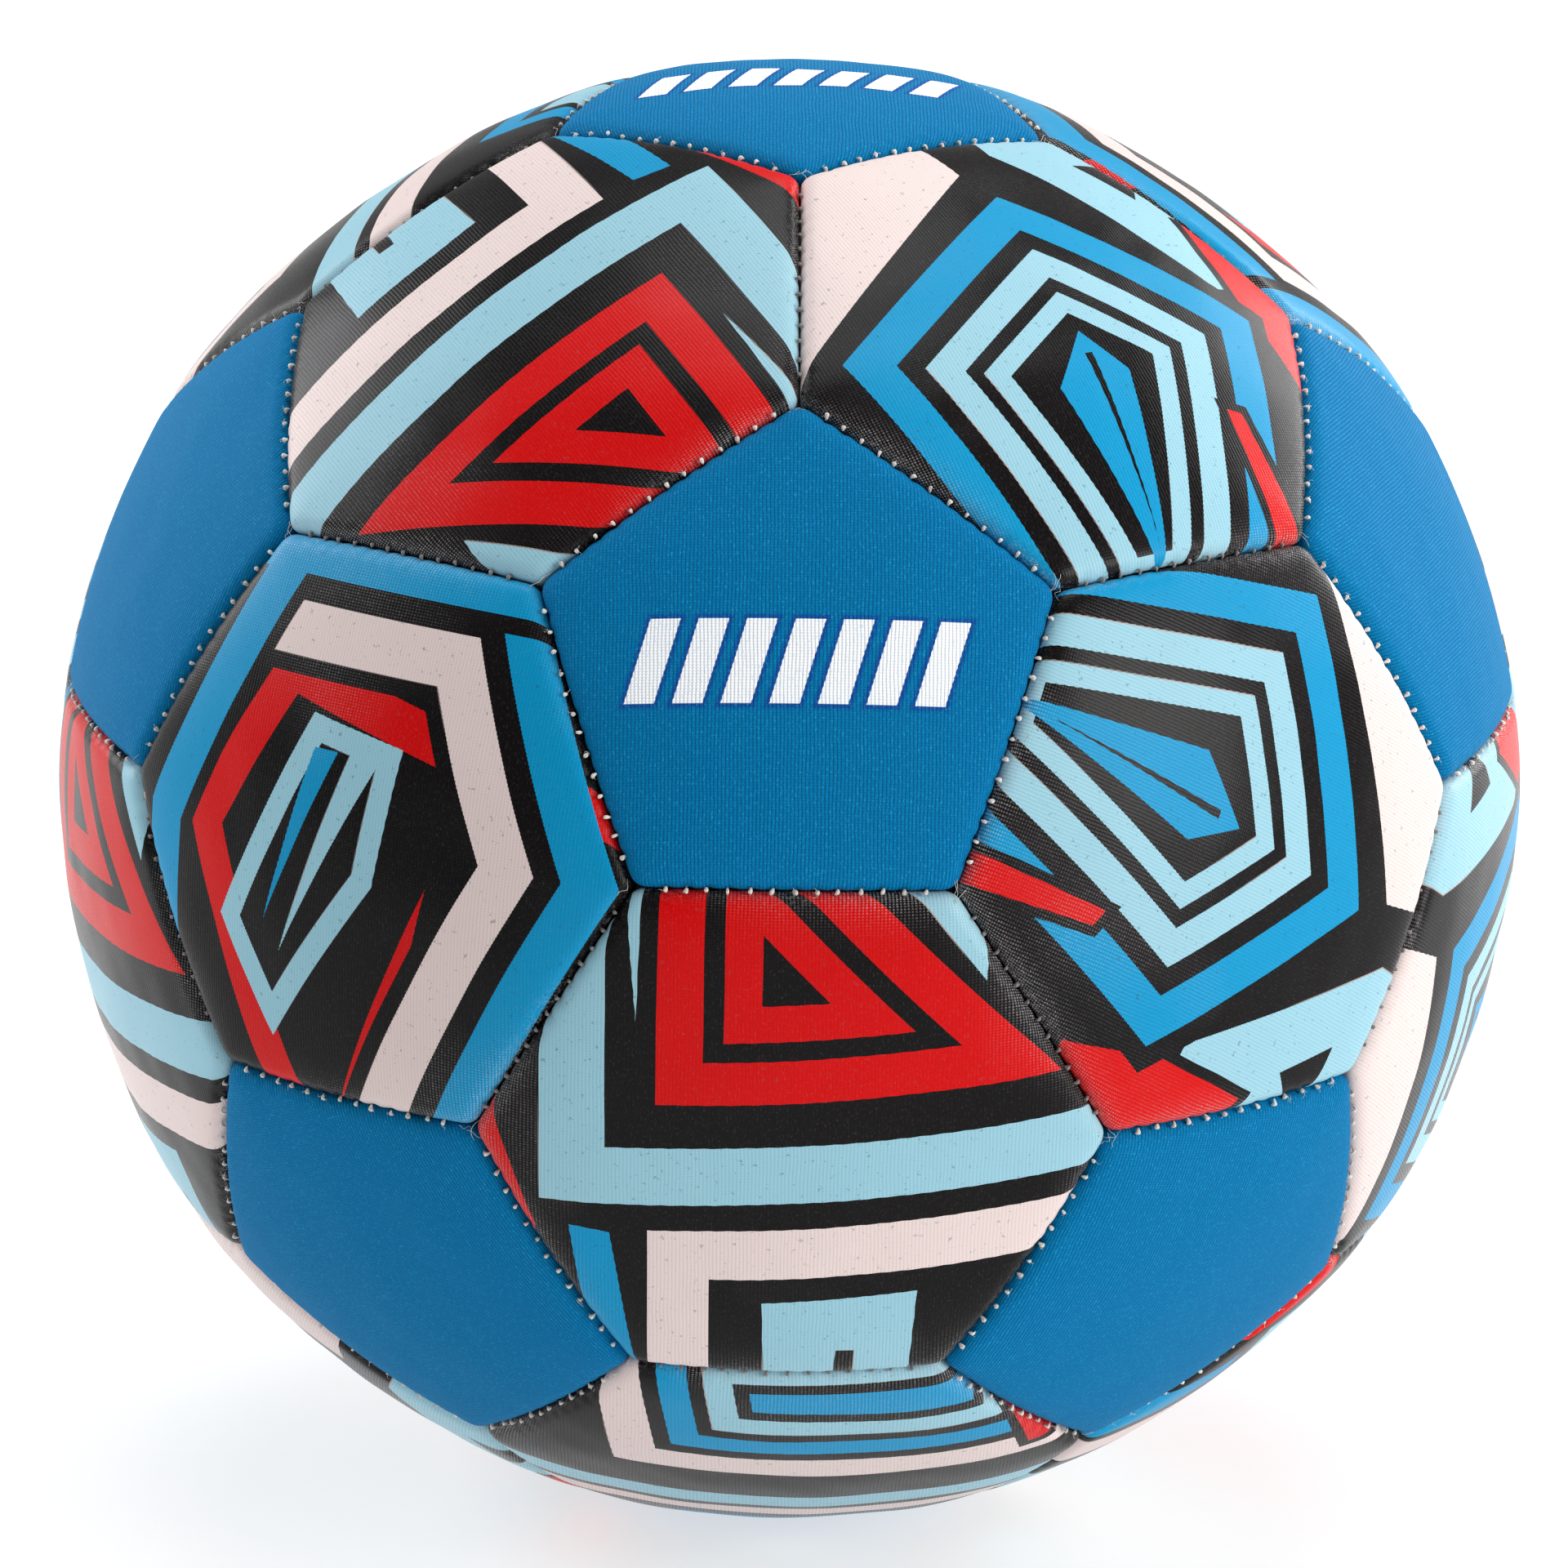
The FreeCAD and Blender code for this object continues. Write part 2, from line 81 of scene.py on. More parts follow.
FACE_LEVELS = 6  # of subdivision of a panel's face
ROLL_STEPS = 6  # rows of points round a panel's rolled rim
ALLOWANCE_SHARES = (0.35, 0.7, 1)  # places of the rows down the turned-in allowance
BACK_SHARES = (0.75, 0.5, 0.25, 0)  # places of the rows across a panel's back
LAST_FRONT_ROW = ROLL_STEPS + len(ALLOWANCE_SHARES)
WAVE_COUNT = 9  # sine waves that make up an unevenness
LONG_WAVE = 26 * MM  # of the unevenness of a face
SHORT_WAVE = 11 * MM
DRAW_WAVE = 9 * MM  # of how hard the stitches pull
CALM_REACH = 4 * MM  # how far from a seam the unevenness of a face is held down
RIM_FADE = 0.7 * MM  # how fast the Rim attribute falls off

VALVE_PENTAGON = "lower_3"
MARKED_PENTAGONS = ("top", "upper_1")
BURIED_THREAD_SHARE = 0.9  # of the sewing thread's diameter
STITCH_STRAY = (0.12, 0.08, 0.12)  # mm that a stitch is off its place, across, along and up
FIBRE_LENGTH = 3.6 * MM
FUZZ_LENGTH = 1.3 * MM
FIBRE_SINK = 1.25 * MM  # depth of the corner fibres below the seams' corners
SEEDS = {
    "pentagon_panels": 1,
    "hexagon_panels": 101,
    "pentagon_stitches": 301,
    "hexagon_stitches": 401,
    "corner_fibres": 501,
    "seam_fuzz": 502,
}

# Linear colours that go with those in BallColours
FADED_INK = (0.9, 0.95, 1.0, 1)
INK_SPECK = (0.02, 0.09, 0.12, 1)
BARE_LINE = (0.62, 0.5, 0.47, 1)
# knit under cracked ink, and the colour of painted glints on the prints
WORN_KNIT_AND_GLINT = (0.62, 0.6, 0.6, 1)
MARK_WHITE = (0.86, 0.88, 0.92, 1)
JERSEY_CLOUD = (0.7, 0.9, 1.0, 1)
# painted glint: a paler blue painted on a few of the jersey's loop tops
JERSEY_GLINT = (0.02, 0.46, 0.78, 1)
JERSEY_SHEEN = (0.5, 0.85, 1.0, 1)
RUBBER_BLOOM = (0.42, 0.41, 0.4, 1)
PAPER_FIBRE = (0.8, 0.8, 0.8, 1)

FLOOR_SIZE = 14
LIGHTS = {  # place, diameter and colour
    "key": ((1.75, -1.0, 0.6), 1.2, (1, 0.99, 0.97)),
    "fill": ((-1.6, 0.8, 0.8), 1.4, (0.97, 0.98, 1)),
    "back": ((1.6, 1.2, 0.8), 1.4, (1, 1, 1)),
    "top": ((0.1, 0.4, 1.9), 1.6, (1, 1, 1)),
}


def linear(red, green, blue):
    """The linear colour of display values from 0 to 255."""
    scaled = [value / 255 for value in (red, green, blue)]
    return tuple(v / 12.92 if v <= 0.04045 else ((v + 0.055) / 1.055) ** 2.4 for v in scaled)


def length_property(name, description, millimetres):
    return bpy.props.FloatProperty(
        name=name, description=description, default=millimetres * MM, unit="LENGTH", precision=5
    )


def colour_property(name, description, red, green, blue):
    return bpy.props.FloatVectorProperty(
        name=name,
        description=description,
        default=linear(red, green, blue),
        subtype="COLOR",
        min=0,
        max=1,
        size=3,
    )


def angle_property(name, description, degrees):
    default = math.radians(degrees)
    return bpy.props.FloatProperty(name=name, description=description, default=default, subtype="ANGLE")


def power_property(name, description, watts):
    return bpy.props.FloatProperty(name=name, description=description, default=watts, unit="POWER")


def number_property(name, description, value):
    return bpy.props.FloatProperty(name=name, description=description, default=value)


class BallSizes(bpy.types.PropertyGroup):
    """Sizes of the panels, the seams and the stitches."""

    dome_radius: length_property("Face curve", "Radius of curvature of a panel's face", 132.0)
    panel_wall: length_property("Cover thickness", "Thickness of the knit on its foam", 2.6)
    seam_gap: length_property("Seam gap", "Gap between two neighbouring panels", 0.22)
    corner_round: length_property("Corner rounding", "Rounding of a panel's corners at the seam", 2.5)
    shoulder_round: length_property("Shoulder rounding", "Rounding of corners where the rim starts", 1.4)
    roll_width: length_property("Rim width", "How far from the seam a panel's rim starts to roll over", 2.3)
    roll_depth: length_property("Rim depth", "How deep the rim goes before it turns straight in", 1.6)
    shoulder_depth: length_property("Shoulder depth", "How far a seam's tension draws the face in", 0.8)
    shoulder_reach: length_property("Shoulder reach", "How far from the seam that tension is felt", 3.6)
    allowance_depth: length_property("Allowance depth", "Depth of the seam allowance below the face", 5.8)
    allowance_wall: length_property("Allowance thickness", "Thickness of the turned-in seam allowance", 1.8)
    pucker_depth: length_property("Pucker depth", "How far each stitch draws the rim in", 0.22)
    pucker_reach: length_property("Pucker reach", "How far from the seam a pucker reaches", 1.5)
    scallop: length_property("Scallop", "How far each stitch draws the rim back from the seam", 0.12)
    undulation: length_property("Undulation", "Height of the gentle unevenness of a panel's face", 0.14)
    stitch_pitch: length_property("Stitch pitch", "Distance between two stitches", 3.0)
    stitch_end_gap: length_property("Stitch end gap", "Distance from a seam's end to its first stitch", 3.2)
    stitch_length: length_property("Stitch length", "Length of thread that shows at one stitch", 1.05)
    thread_diameter: length_property("Thread diameter", "Diameter of the sewing thread", 0.54)
    stitch_sink: length_property("Stitch sink", "Depth of a stitch's top below the panels' faces", 1.05)
    buried_sink: length_property("Buried stitch sink", "The same where two printed panels meet", 1.35)
    fibre_diameter: length_property("Fibre diameter", "Diameter of a loose fibre", 0.07)
    valve_hole: length_property("Valve hole", "Radius of the hole for the inflating needle's valve", 3.1)


class BallColours(bpy.types.PropertyGroup):
    """Colours of the fabrics, the inks, the thread and the rubber."""

    jersey: colour_property("Plain panels", "Dyed knit of the pentagons", 0, 106, 157)
    halo: colour_property("Mark's edge", "Darker edge round the mark", 12, 74, 146)
    white: colour_property("Bare knit", "Unprinted knit of the hexagons", 216, 199, 196)
    pale: colour_property("Pale blue ink", "Pale blue of the prints", 143, 188, 203)
    cyan: colour_property("Mid blue ink", "Mid blue of the prints", 0, 138, 186)
    red: colour_property("Red ink", "Red of the prints", 196, 0, 2)
    black: colour_property("Black ink", "Black of the prints", 10, 7, 8)
    thread: colour_property("Thread", "Sewing thread", 226, 220, 212)
    buried_thread: colour_property("Buried thread", "Thread where two printed panels meet", 128, 122, 120)
    lining: colour_property("Lining", "Woven lining behind the panels", 196, 192, 182)
    bladder: colour_property("Bladder", "Rubber of the bladder", 34, 33, 36)
    valve: colour_property("Valve", "Rubber of the valve's housing", 20, 20, 22)
    core: colour_property("Valve core", "Soft rubber of the valve's core", 205, 201, 190)
    floor: colour_property("Floor", "Pale paper sweep under the ball", 173, 173, 173)


class BallStage(bpy.types.PropertyGroup):
    """Place of the camera and strength of the lights."""

    azimuth: angle_property("Azimuth", "Direction from the ball to the camera", -90.5)
    elevation: angle_property("Elevation", "Height of the camera over the ball", 17.46)
    roll: angle_property("Roll", "Turn of the camera about its own axis", 0.79)
    distance: bpy.props.FloatProperty(
        name="Distance", description="From the ball's centre to the camera", default=1.0351, unit="LENGTH"
    )
    lens: number_property("Lens", "Focal length in millimetres", 156.8)
    shift_x: number_property("Shift across", "Share of the frame's width", -0.0034)
    shift_y: number_property("Shift up", "Share of the frame's width", 0.0031)
    surroundings: bpy.props.FloatProperty(
        name="Surroundings", description="Brightness of the white room", default=0.34, min=0
    )
    key: power_property("Key light", "Power of the large light at the right, in front", 34.0)
    fill: power_property("Fill light", "Power of the light behind the ball at the left", 30.0)
    back: power_property("Back light", "Power of the light behind the ball at the right", 30.0)
    top: power_property("Top light", "Power of the light over the ball", 26.0)


class Outline:
    """A regular panel's seams, seen from the ball's centre: the angles of a corner and a side's middle."""

    def __init__(self, sides):
        self.sides = sides
        self.half_step = math.pi / sides
        reach = 0.5 / math.sin(self.half_step)
        height = math.sqrt(SOLID_CIRCUMRADIUS**2 - reach**2)
        self.corner_angle = math.atan(reach / height)
        self.side_angle = math.atan(reach * math.cos(self.half_step) / height)


PENTAGON = Outline(5)
HEXAGON = Outline(6)


# Places round the ball


def unit(azimuth, latitude):
    """The direction with this azimuth and latitude, in degrees."""
    turn = math.radians(azimuth)
    rise = math.radians(latitude)
    return Vector((math.cos(turn) * math.cos(rise), math.sin(turn) * math.cos(rise), math.sin(rise)))


def aligned(outward, along):
    """The turn with +Z along outward and +X as near to along as it can be."""
    z = outward.normalized()
    x = (along - z * along.dot(z)).normalized()
    return Matrix((x, z.cross(x), z)).transposed().to_4x4()


def pentagon_axes():
    """{name: outward direction} of the 12 pentagons, which are an icosahedron's corners."""
    ring = math.degrees(ICOSAHEDRON_LATITUDE)
    axes = {"top": unit(0, 90)}
    for k in range(5):
        axes[f"upper_{k + 1}"] = unit(FIRST_AZIMUTH + STEP_ROUND * k, ring)
    for k in range(5):
        axes[f"lower_{k + 1}"] = unit(FIRST_AZIMUTH + STEP_ROUND * (k + 0.5), -ring)
    axes["bottom"] = unit(0, -90)
    return axes


def neighbours(axes, name):
    """The names of the pentagons that are one icosahedron edge away."""
    edge = math.cos(math.pi / 2 - ICOSAHEDRON_LATITUDE)
    return [other for other in axes if other != name and axes[name].dot(axes[other]) > edge - 0.01]


def pentagon_places(axes):
    """{name: turn} of the pentagons. A pentagon's corners point towards its neighbours."""
    return {name: aligned(axis, axes[neighbours(axes, name)[0]]) for name, axis in axes.items()}


def hexagon_places(axes):
    """{name: turn} of the 20 hexagons, each in the middle of three pentagons."""
    rings = {"top": [], "upper": [], "lower": [], "bottom": []}
    for a, b, c in combinations(axes, 3):
        if b in neighbours(axes, a) and c in neighbours(axes, a) and c in neighbours(axes, b):
            middle = (axes[a] + axes[b] + axes[c]).normalized()
            ring = "top" if middle.z > 0.5 else "upper" if middle.z > 0 else "lower"
            rings["bottom" if middle.z < -0.5 else ring].append(middle)
    places = {}
    for ring, middles in rings.items():
        middles.sort(key=lambda m: (math.degrees(math.atan2(m.y, m.x)) - FIRST_AZIMUTH + 1) % 360)
        for k, middle in enumerate(middles, start=1):
            places[f"{ring}_{k}"] = aligned(middle, Vector((0, 0, 1)).cross(middle))
    return places


def corner_direction(axes, near, far):
    """The seam corner of pentagon near that points to pentagon far."""
    return (axes[near] * 2 + axes[far]).normalized()


def seam_place(start, end, inner):
    """The turn of a seam: +Z through its middle, +X along it and +Y away from the direction inner."""
    along = end - start
    middle = (start + end).normalized()
    if middle.cross(along).dot(inner) > 0:
        along = -along
    return aligned(middle, along)


def pentagon_seams(axes):
    """{pentagon's name: the turns of its five seams}"""
    seams = {}
    for name in axes:
        seams[name] = [
            seam_place(corner_direction(axes, name, a), corner_direction(axes, name, b), axes[name])
            for a, b in combinations(neighbours(axes, name), 2)
            if b in neighbours(axes, a)
        ]
    return seams


def hexagon_seams(axes):
    """{ring's name: the turns of the seams between two hexagons}"""
    seams = {"top": [], "upper": [], "middle": [], "lower": [], "bottom": []}
    for a, b in combinations(axes, 2):
        if b not in neighbours(axes, a):
            continue
        height = axes[a].z + axes[b].z
        if abs(height) < 0.1:
            ring = "middle"
        elif height > 0:
            ring = "top" if "top" in (a, b) else "upper"
        else:
            ring = "bottom" if "bottom" in (a, b) else "lower"
        side = axes[a].cross(axes[b])
        seams[ring].append(seam_place(corner_direction(axes, a, b), corner_direction(axes, b, a), side))
    return seams


# The panels' surface


def seam_radius(sizes):
    """From the ball's centre to the point where three seams meet."""
    centre = FACE_HEIGHT - sizes.dome_radius
    across = centre * math.sin(PENTAGON.corner_angle)
    return centre * math.cos(PENTAGON.corner_angle) + math.sqrt(sizes.dome_radius**2 - across**2)


def seam_length(sizes):
    return seam_radius(sizes) / SOLID_CIRCUMRADIUS


def dome_centre(outline, sizes):
    """Height of the centre of a face's curve on the panel's axis."""
    radius = seam_radius(sizes)
    reach = radius * math.sin(outline.corner_angle)
    return radius * math.cos(outline.corner_angle) - math.sqrt(sizes.dome_radius**2 - reach**2)


def face_radius(outline, sizes, cosine):
    """Distance from the ball's centre to a panel's face, in a direction with this cosine from its axis."""
    centre = dome_centre(outline, sizes)
    return centre * cosine + np.sqrt(sizes.dome_radius**2 - centre**2 * (1 - cosine**2))


def rim_radius(outline, sizes, swing=0.0):
    """From the ball's centre to the faces at a seam, at the angle swing from the seam's middle."""
    return float(face_radius(outline, sizes, math.cos(outline.side_angle) * math.cos(swing)))


def rim_rows(sizes):
    """The rows past the face: distance from the seam, depth below the face, share of the panel's width."""
    rows = []
    for k in range(1, ROLL_STEPS + 1):
        turn = math.pi / 2 * k / ROLL_STEPS
        rows.append((sizes.roll_width * (1 - math.sin(turn)), sizes.roll_depth * (1 - math.cos(turn)), 1))
    for share in ALLOWANCE_SHARES:
        depth = sizes.roll_depth + (sizes.allowance_depth - sizes.roll_depth) * share
        rows.append((0, depth, 1))
    rows.append((sizes.allowance_wall, sizes.allowance_depth, 1))
    rows.append((sizes.allowance_wall, sizes.panel_wall, 1))
    for share in BACK_SHARES:
        rows.append((sizes.allowance_wall, sizes.panel_wall, share))
    return rows


def soft_waves(points, seed, wavelength):
    """A smooth random value from about -1 to 1 at each point."""
    chance = np.random.default_rng(seed)
    total = np.zeros(len(points))
    for _ in range(WAVE_COUNT):
        heading = chance.normal(size=3)
        heading = heading / np.linalg.norm(heading) * 2 * math.pi / wavelength * chance.uniform(0.6, 1.7)
        total += np.sin(points @ heading + chance.uniform(0, 2 * math.pi))
    return total / math.sqrt(WAVE_COUNT)


def panel_surface(flat, outline, sizes, seed, swell=None):
    """Where a flat blank's points go on the ball, their places in the panel's plane, and their Rim values.

    flat holds a point's place in the unit outline, and as -z the row past the face that it belongs to.
    """
    rows = np.array([(sizes.roll_width, 0, 1)] + rim_rows(sizes))
    row = np.rint(-flat[:, 2]).astype(int)
    from_seam, depth, share = rows[row].T
    step = 2 * outline.half_step
    side = np.floor(np.arctan2(flat[:, 1], flat[:, 0]) / step)
    facing = (side + 0.5) * step
    out = flat[:, 0] * np.cos(facing) + flat[:, 1] * np.sin(facing)
    across = flat[:, 1] * np.cos(facing) - flat[:, 0] * np.sin(facing)
    level = np.clip(out / math.cos(outline.half_step), 0, 1)
    position = np.clip(across / np.maximum(out * math.tan(outline.half_step), 1e-9), -1, 1)
    rim = rim_radius(outline, sizes)
    squeeze = rim * math.cos(outline.side_angle) ** 2

    # Distance from the seam, and place along it, which the stitches act on
    reach = np.tan(outline.side_angle - (from_seam + sizes.seam_gap / 2) / rim) * level * share
    clear = rim * (outline.side_angle - np.arctan(reach))
    along = rim * np.arctan(reach * math.tan(outline.half_step) * position * math.cos(outline.side_angle))
    last_stitch = seam_length(sizes) / 2 - sizes.stitch_end_gap
    sewn = np.clip((last_stitch + sizes.stitch_pitch / 3 - np.abs(along)) / MM, 0, 1)
    draw = (0.5 + 0.5 * np.cos(2 * math.pi * along / sizes.stitch_pitch)) ** 2 * sewn
    spots = np.column_stack([along, facing * 0.01, along * 0])
    draw = draw * (0.8 + 0.4 * soft_waves(spots, seed + 7, DRAW_WAVE))
    front = row <= LAST_FRONT_ROW
    near = np.exp(-((clear / sizes.pucker_reach) ** 2)) * front
    reach = reach - sizes.scallop * draw * near / squeeze

    # The rounded outline through the point
    soften = np.clip((level - 0.45) / 0.55, 0, 1) ** 2
    roll = np.clip(1 - from_seam / sizes.roll_width, 0, 1)
    rounding = (sizes.shoulder_round + (sizes.corner_round - sizes.shoulder_round) * roll) / squeeze
    rounding = np.minimum(rounding * soften * share, reach * 0.9) + 1e-9
    straight = (reach - rounding) * math.tan(outline.half_step)
    travel = np.abs(position) * (straight + rounding * outline.half_step)
    bend = np.clip((travel - straight) / rounding, 0, outline.half_step)
    local_out = reach - rounding + rounding * np.cos(bend)
    local_across = np.sign(position) * (np.minimum(travel, straight) + rounding * np.sin(bend))
    x = local_out * np.cos(facing) - local_across * np.sin(facing)
    y = local_out * np.sin(facing) + local_across * np.cos(facing)
    direction = np.column_stack([x, y, np.ones(len(x))])
    direction /= np.linalg.norm(direction, axis=1)[:, None]
    radius = face_radius(outline, sizes, direction[:, 2])

    # Depth: the rolled rim, the pull of the seam, the puckers and a gentle unevenness
    pull = sizes.shoulder_depth * np.exp(-clear / sizes.shoulder_reach) * front
    calm = 1 - np.exp(-clear / CALM_REACH)
    waves = soft_waves(direction * radius[:, None], seed, LONG_WAVE) * 0.75
    waves += soft_waves(direction * radius[:, None], seed + 3, SHORT_WAVE) * 0.25
    sunk = depth + pull + sizes.pucker_depth * draw * near - sizes.undulation * waves * calm * front
    if swell is not None:
        sunk = sunk - swell * front
    points = direction * (radius - sunk)[:, None]
    spread = depth * front
    plane = direction[:, :2] * radius[:, None]
    plane[:, 0] += np.cos(facing) * spread
    plane[:, 1] += np.sin(facing) * spread
    # The Rim values drive cracked ink and painted glints near the seams
    rim_wear_and_glint = np.exp(-clear / RIM_FADE) * front
    return points, plane, rim_wear_and_glint


# Modelling


def deselect_all():
    if bpy.context.mode != "OBJECT":
        bpy.ops.object.mode_set(mode="OBJECT")
    for thing in list(bpy.context.selected_objects):
        thing.select_set(False)


def make_active(piece):
    deselect_all()
    piece.select_set(True)
    bpy.context.view_layer.objects.active = piece


def points_of(mesh):
    found = np.empty(len(mesh.vertices) * 3)
    mesh.vertices.foreach_get("co", found)
    return found.reshape(-1, 3)


def set_points(mesh, points):
    mesh.vertices.foreach_set("co", np.asarray(points, dtype=np.float32).ravel())
    mesh.update()


def moved(points, matrix):
    """The points after the matrix."""
    grid = np.array(matrix)
    return points @ grid[:3, :3].T + grid[:3, 3]


def set_map(mesh, name, plane):
    """Writes a UV map from one place for each vertex."""
    layer = mesh.uv_layers.new(name=name)
    corners = np.empty(len(mesh.loops), dtype=int)
    mesh.loops.foreach_get("vertex_index", corners)
    layer.uv.foreach_set("vector", plane[corners].astype(np.float32).ravel())


def new_piece(name, mesh, material):
    """An object at the origin with its own mesh and material."""
    mesh.materials.clear()
    mesh.materials.append(material)
    piece = bpy.data.objects.new(name, mesh)
    bpy.context.scene.collection.objects.link(piece)
    return piece


def discard(piece):
    mesh = piece.data
    bpy.data.objects.remove(piece)
    bpy.data.meshes.remove(mesh)


def panel_blank(name, outline, sizes):
    """A flat closed blank: a fine face in the unit outline, with a row of points below it per rim row."""
    deselect_all()
    bpy.ops.mesh.primitive_circle_add(
        vertices=outline.sides, radius=1, fill_type="NGON", rotation=(0, 0, -math.pi / 2)
    )
    blank = bpy.context.object
    blank.name = name
    bpy.ops.object.transform_apply(location=True, rotation=True, scale=True)
    finer = blank.modifiers.new("Finer", "SUBSURF")
    finer.subdivision_type = "SIMPLE"
    finer.levels = FACE_LEVELS
    finer.render_levels = FACE_LEVELS
    bpy.ops.object.modifier_apply(modifier=finer.name)
    bpy.ops.object.mode_set(mode="EDIT")
    bpy.ops.mesh.select_mode(type="EDGE")
    bpy.ops.mesh.select_all(action="DESELECT")
    bpy.ops.mesh.select_non_manifold()
    for _ in rim_rows(sizes):
        bpy.ops.mesh.extrude_edges_move(TRANSFORM_OT_translate={"value": (0, 0, -1)})
    bpy.ops.mesh.merge(type="CENTER")
    bpy.ops.mesh.select_all(action="SELECT")
    bpy.ops.mesh.normals_make_consistent(inside=False)
    bpy.ops.object.mode_set(mode="OBJECT")
    return blank


def make_panel(name, blank, outline, sizes, place, turn, seed, material, swell=None):
    """One panel: its own copy of the blank, laid on the ball, with its map turned by turn degrees."""
    mesh = blank.data.copy()
    mesh.name = name
    points, plane, rim_wear_and_glint = panel_surface(points_of(mesh), outline, sizes, seed, swell)
    mesh.attributes.new(RIM, "FLOAT", "POINT").data.foreach_set("value", rim_wear_and_glint.astype(np.float32))
    set_points(mesh, moved(points, place))
    angle = math.radians(-turn)
    spin = np.array(((math.cos(angle), math.sin(angle)), (-math.sin(angle), math.cos(angle))))
    set_map(mesh, PANEL_MAP, 0.5 + plane @ spin / (PANEL_SPAN * MM))
    mesh.shade_smooth()
    return new_piece(name, mesh, material)


def inflated(name, blank, outline, sizes):
    """How far air under a panel lifts each of its points, from a cloth simulation held at the seams."""
    deselect_all()
    piece = bpy.data.objects.new(name, blank.data.copy())
    bpy.context.scene.collection.objects.link(piece)
    mesh = piece.data
    face = points_of(mesh)[:, 2] > -0.5
    start, _, _ = panel_surface(points_of(mesh), outline, sizes, 1)
    set_points(mesh, start)
    held = piece.vertex_groups.new(name="Held")
    held.add([int(i) for i in np.flatnonzero(~face)], 1.0, "REPLACE")
    make_active(piece)
    cloth = piece.modifiers.new("Cloth", "CLOTH")
    cloth.settings.quality = 6
    cloth.settings.mass = 0.4
    cloth.settings.tension_stiffness = 40
    cloth.settings.compression_stiffness = 40
    cloth.settings.shear_stiffness = 20
    cloth.settings.bending_stiffness = 4
    cloth.settings.use_pressure = True
    cloth.settings.uniform_pressure_force = AIR_PRESSURE
    cloth.settings.vertex_group_mass = held.name
    cloth.settings.effector_weights.gravity = 0
    cloth.point_cache.frame_end = CLOTH_FRAMES
    for number in range(1, CLOTH_FRAMES + 1):
        bpy.context.scene.frame_set(number)
    bpy.ops.object.modifier_apply(modifier=cloth.name)
    end = points_of(mesh)
    bpy.context.scene.frame_set(1)
    discard(piece)
    lift = (np.linalg.norm(end, axis=1) - np.linalg.norm(start, axis=1)) * face
    print(f"{name}: lift from {lift.min() / MM:.2f} to {lift.max() / MM:.2f} mm")
    return np.clip(lift, -LIFT_CAP, LIFT_CAP)


def cut_hole(piece, place, radius):
    """Cuts a round hole through a panel, along its axis."""
    deselect_all()
    middle = place @ Vector((0, 0, FACE_HEIGHT))
    bpy.ops.mesh.primitive_cylinder_add(
        vertices=64, radius=radius, depth=14 * MM, location=middle, rotation=place.to_euler()
    )
    cutter = bpy.context.object
    make_active(piece)
    hole = piece.modifiers.new("Hole", "BOOLEAN")
    hole.operation = "DIFFERENCE"
    hole.solver = "EXACT"
    hole.object = cutter
    bpy.ops.object.modifier_apply(modifier=hole.name)
    discard(cutter)


def thread_blank(name, length, diameter, sides, segments):
    """A straight piece of thread along Y, cut across into segments so that it can bend."""
    deselect_all()
    bpy.ops.mesh.primitive_cylinder_add(
        vertices=sides, radius=diameter / 2, depth=length, rotation=(math.pi / 2, 0, 0)
    )
    blank = bpy.context.object
    blank.name = name
    bpy.ops.object.transform_apply(location=True, rotation=True, scale=True)
    bpy.ops.object.mode_set(mode="EDIT")
    for k in range(1, segments):
        bpy.ops.mesh.select_all(action="SELECT")
        height = length * (k / segments - 0.5)
        bpy.ops.mesh.bisect(plane_co=(0, height, 0), plane_no=(0, 1, 0))
    bpy.ops.mesh.select_all(action="DESELECT")
    bpy.ops.object.mode_set(mode="OBJECT")
    return blank


def repeated(name, blank, shapes):
    """A mesh with one copy of the blank for each of shapes, which are arrays of its points."""
    base = blank.data
    count = len(base.vertices)
    faces = [list(face.vertices) for face in base.polygons]
    uv = np.empty(len(base.loops) * 2)
    base.uv_layers[0].uv.foreach_get("vector", uv)
    mesh = bpy.data.meshes.new(name)
    everything = [[index + k * count for index in face] for k in range(len(shapes)) for face in faces]
    mesh.from_pydata(np.vstack(shapes).tolist(), [], everything)
    layer = mesh.uv_layers.new(name="Thread")
    layer.uv.foreach_set("vector", np.tile(uv, len(shapes)).astype(np.float32))
    mesh.shade_smooth()
    return mesh


def stitch_shapes(blank, seams, outline, sizes, sink, seed):
    """The points of every stitch of these seams."""
    chance = np.random.default_rng(seed)
    base = points_of(blank.data)
    half = sizes.stitch_length / 2
    count = int((seam_length(sizes) - 2 * sizes.stitch_end_gap) / sizes.stitch_pitch) + 1
    rim = rim_radius(outline, sizes)
    shapes = []
    for place in seams:
        for i in range(count):
            swing = sizes.stitch_pitch / rim * (i - (count - 1) / 2)
            points = base.copy()
            middle = np.cos(points[:, 1] / half * math.pi / 2)
            swell = chance.uniform(0.85, 1.05) + chance.uniform(0.0, 0.45) * middle
            taper = np.sqrt(1 - 0.7 * (points[:, 1] / half) ** 2)
            points[:, 0] *= swell * taper
            points[:, 2] *= swell * taper
            points[:, 1] *= chance.uniform(0.6, 1.05)
            droop = chance.uniform(0.45, 0.6) * MM
            points[:, 2] -= droop * (points[:, 1] / half) ** 2
            points[:, 0] += chance.uniform(-0.12, 0.12) * MM * (points[:, 1] / half) ** 2
            lean = Matrix.Rotation(chance.normal(0, 0.3), 4, "Z")
            tip = Matrix.Rotation(chance.normal(0, 0.12), 4, "X")
            offset = Vector([chance.normal(0, spread) for spread in STITCH_STRAY]) * MM
            lift = Matrix.Translation(Vector((0, 0, rim_radius(outline, sizes, swing) - sink)) + offset)
            shapes.append(moved(points, place @ Matrix.Rotation(swing, 4, "Y") @ lift @ lean @ tip))
    return shapes


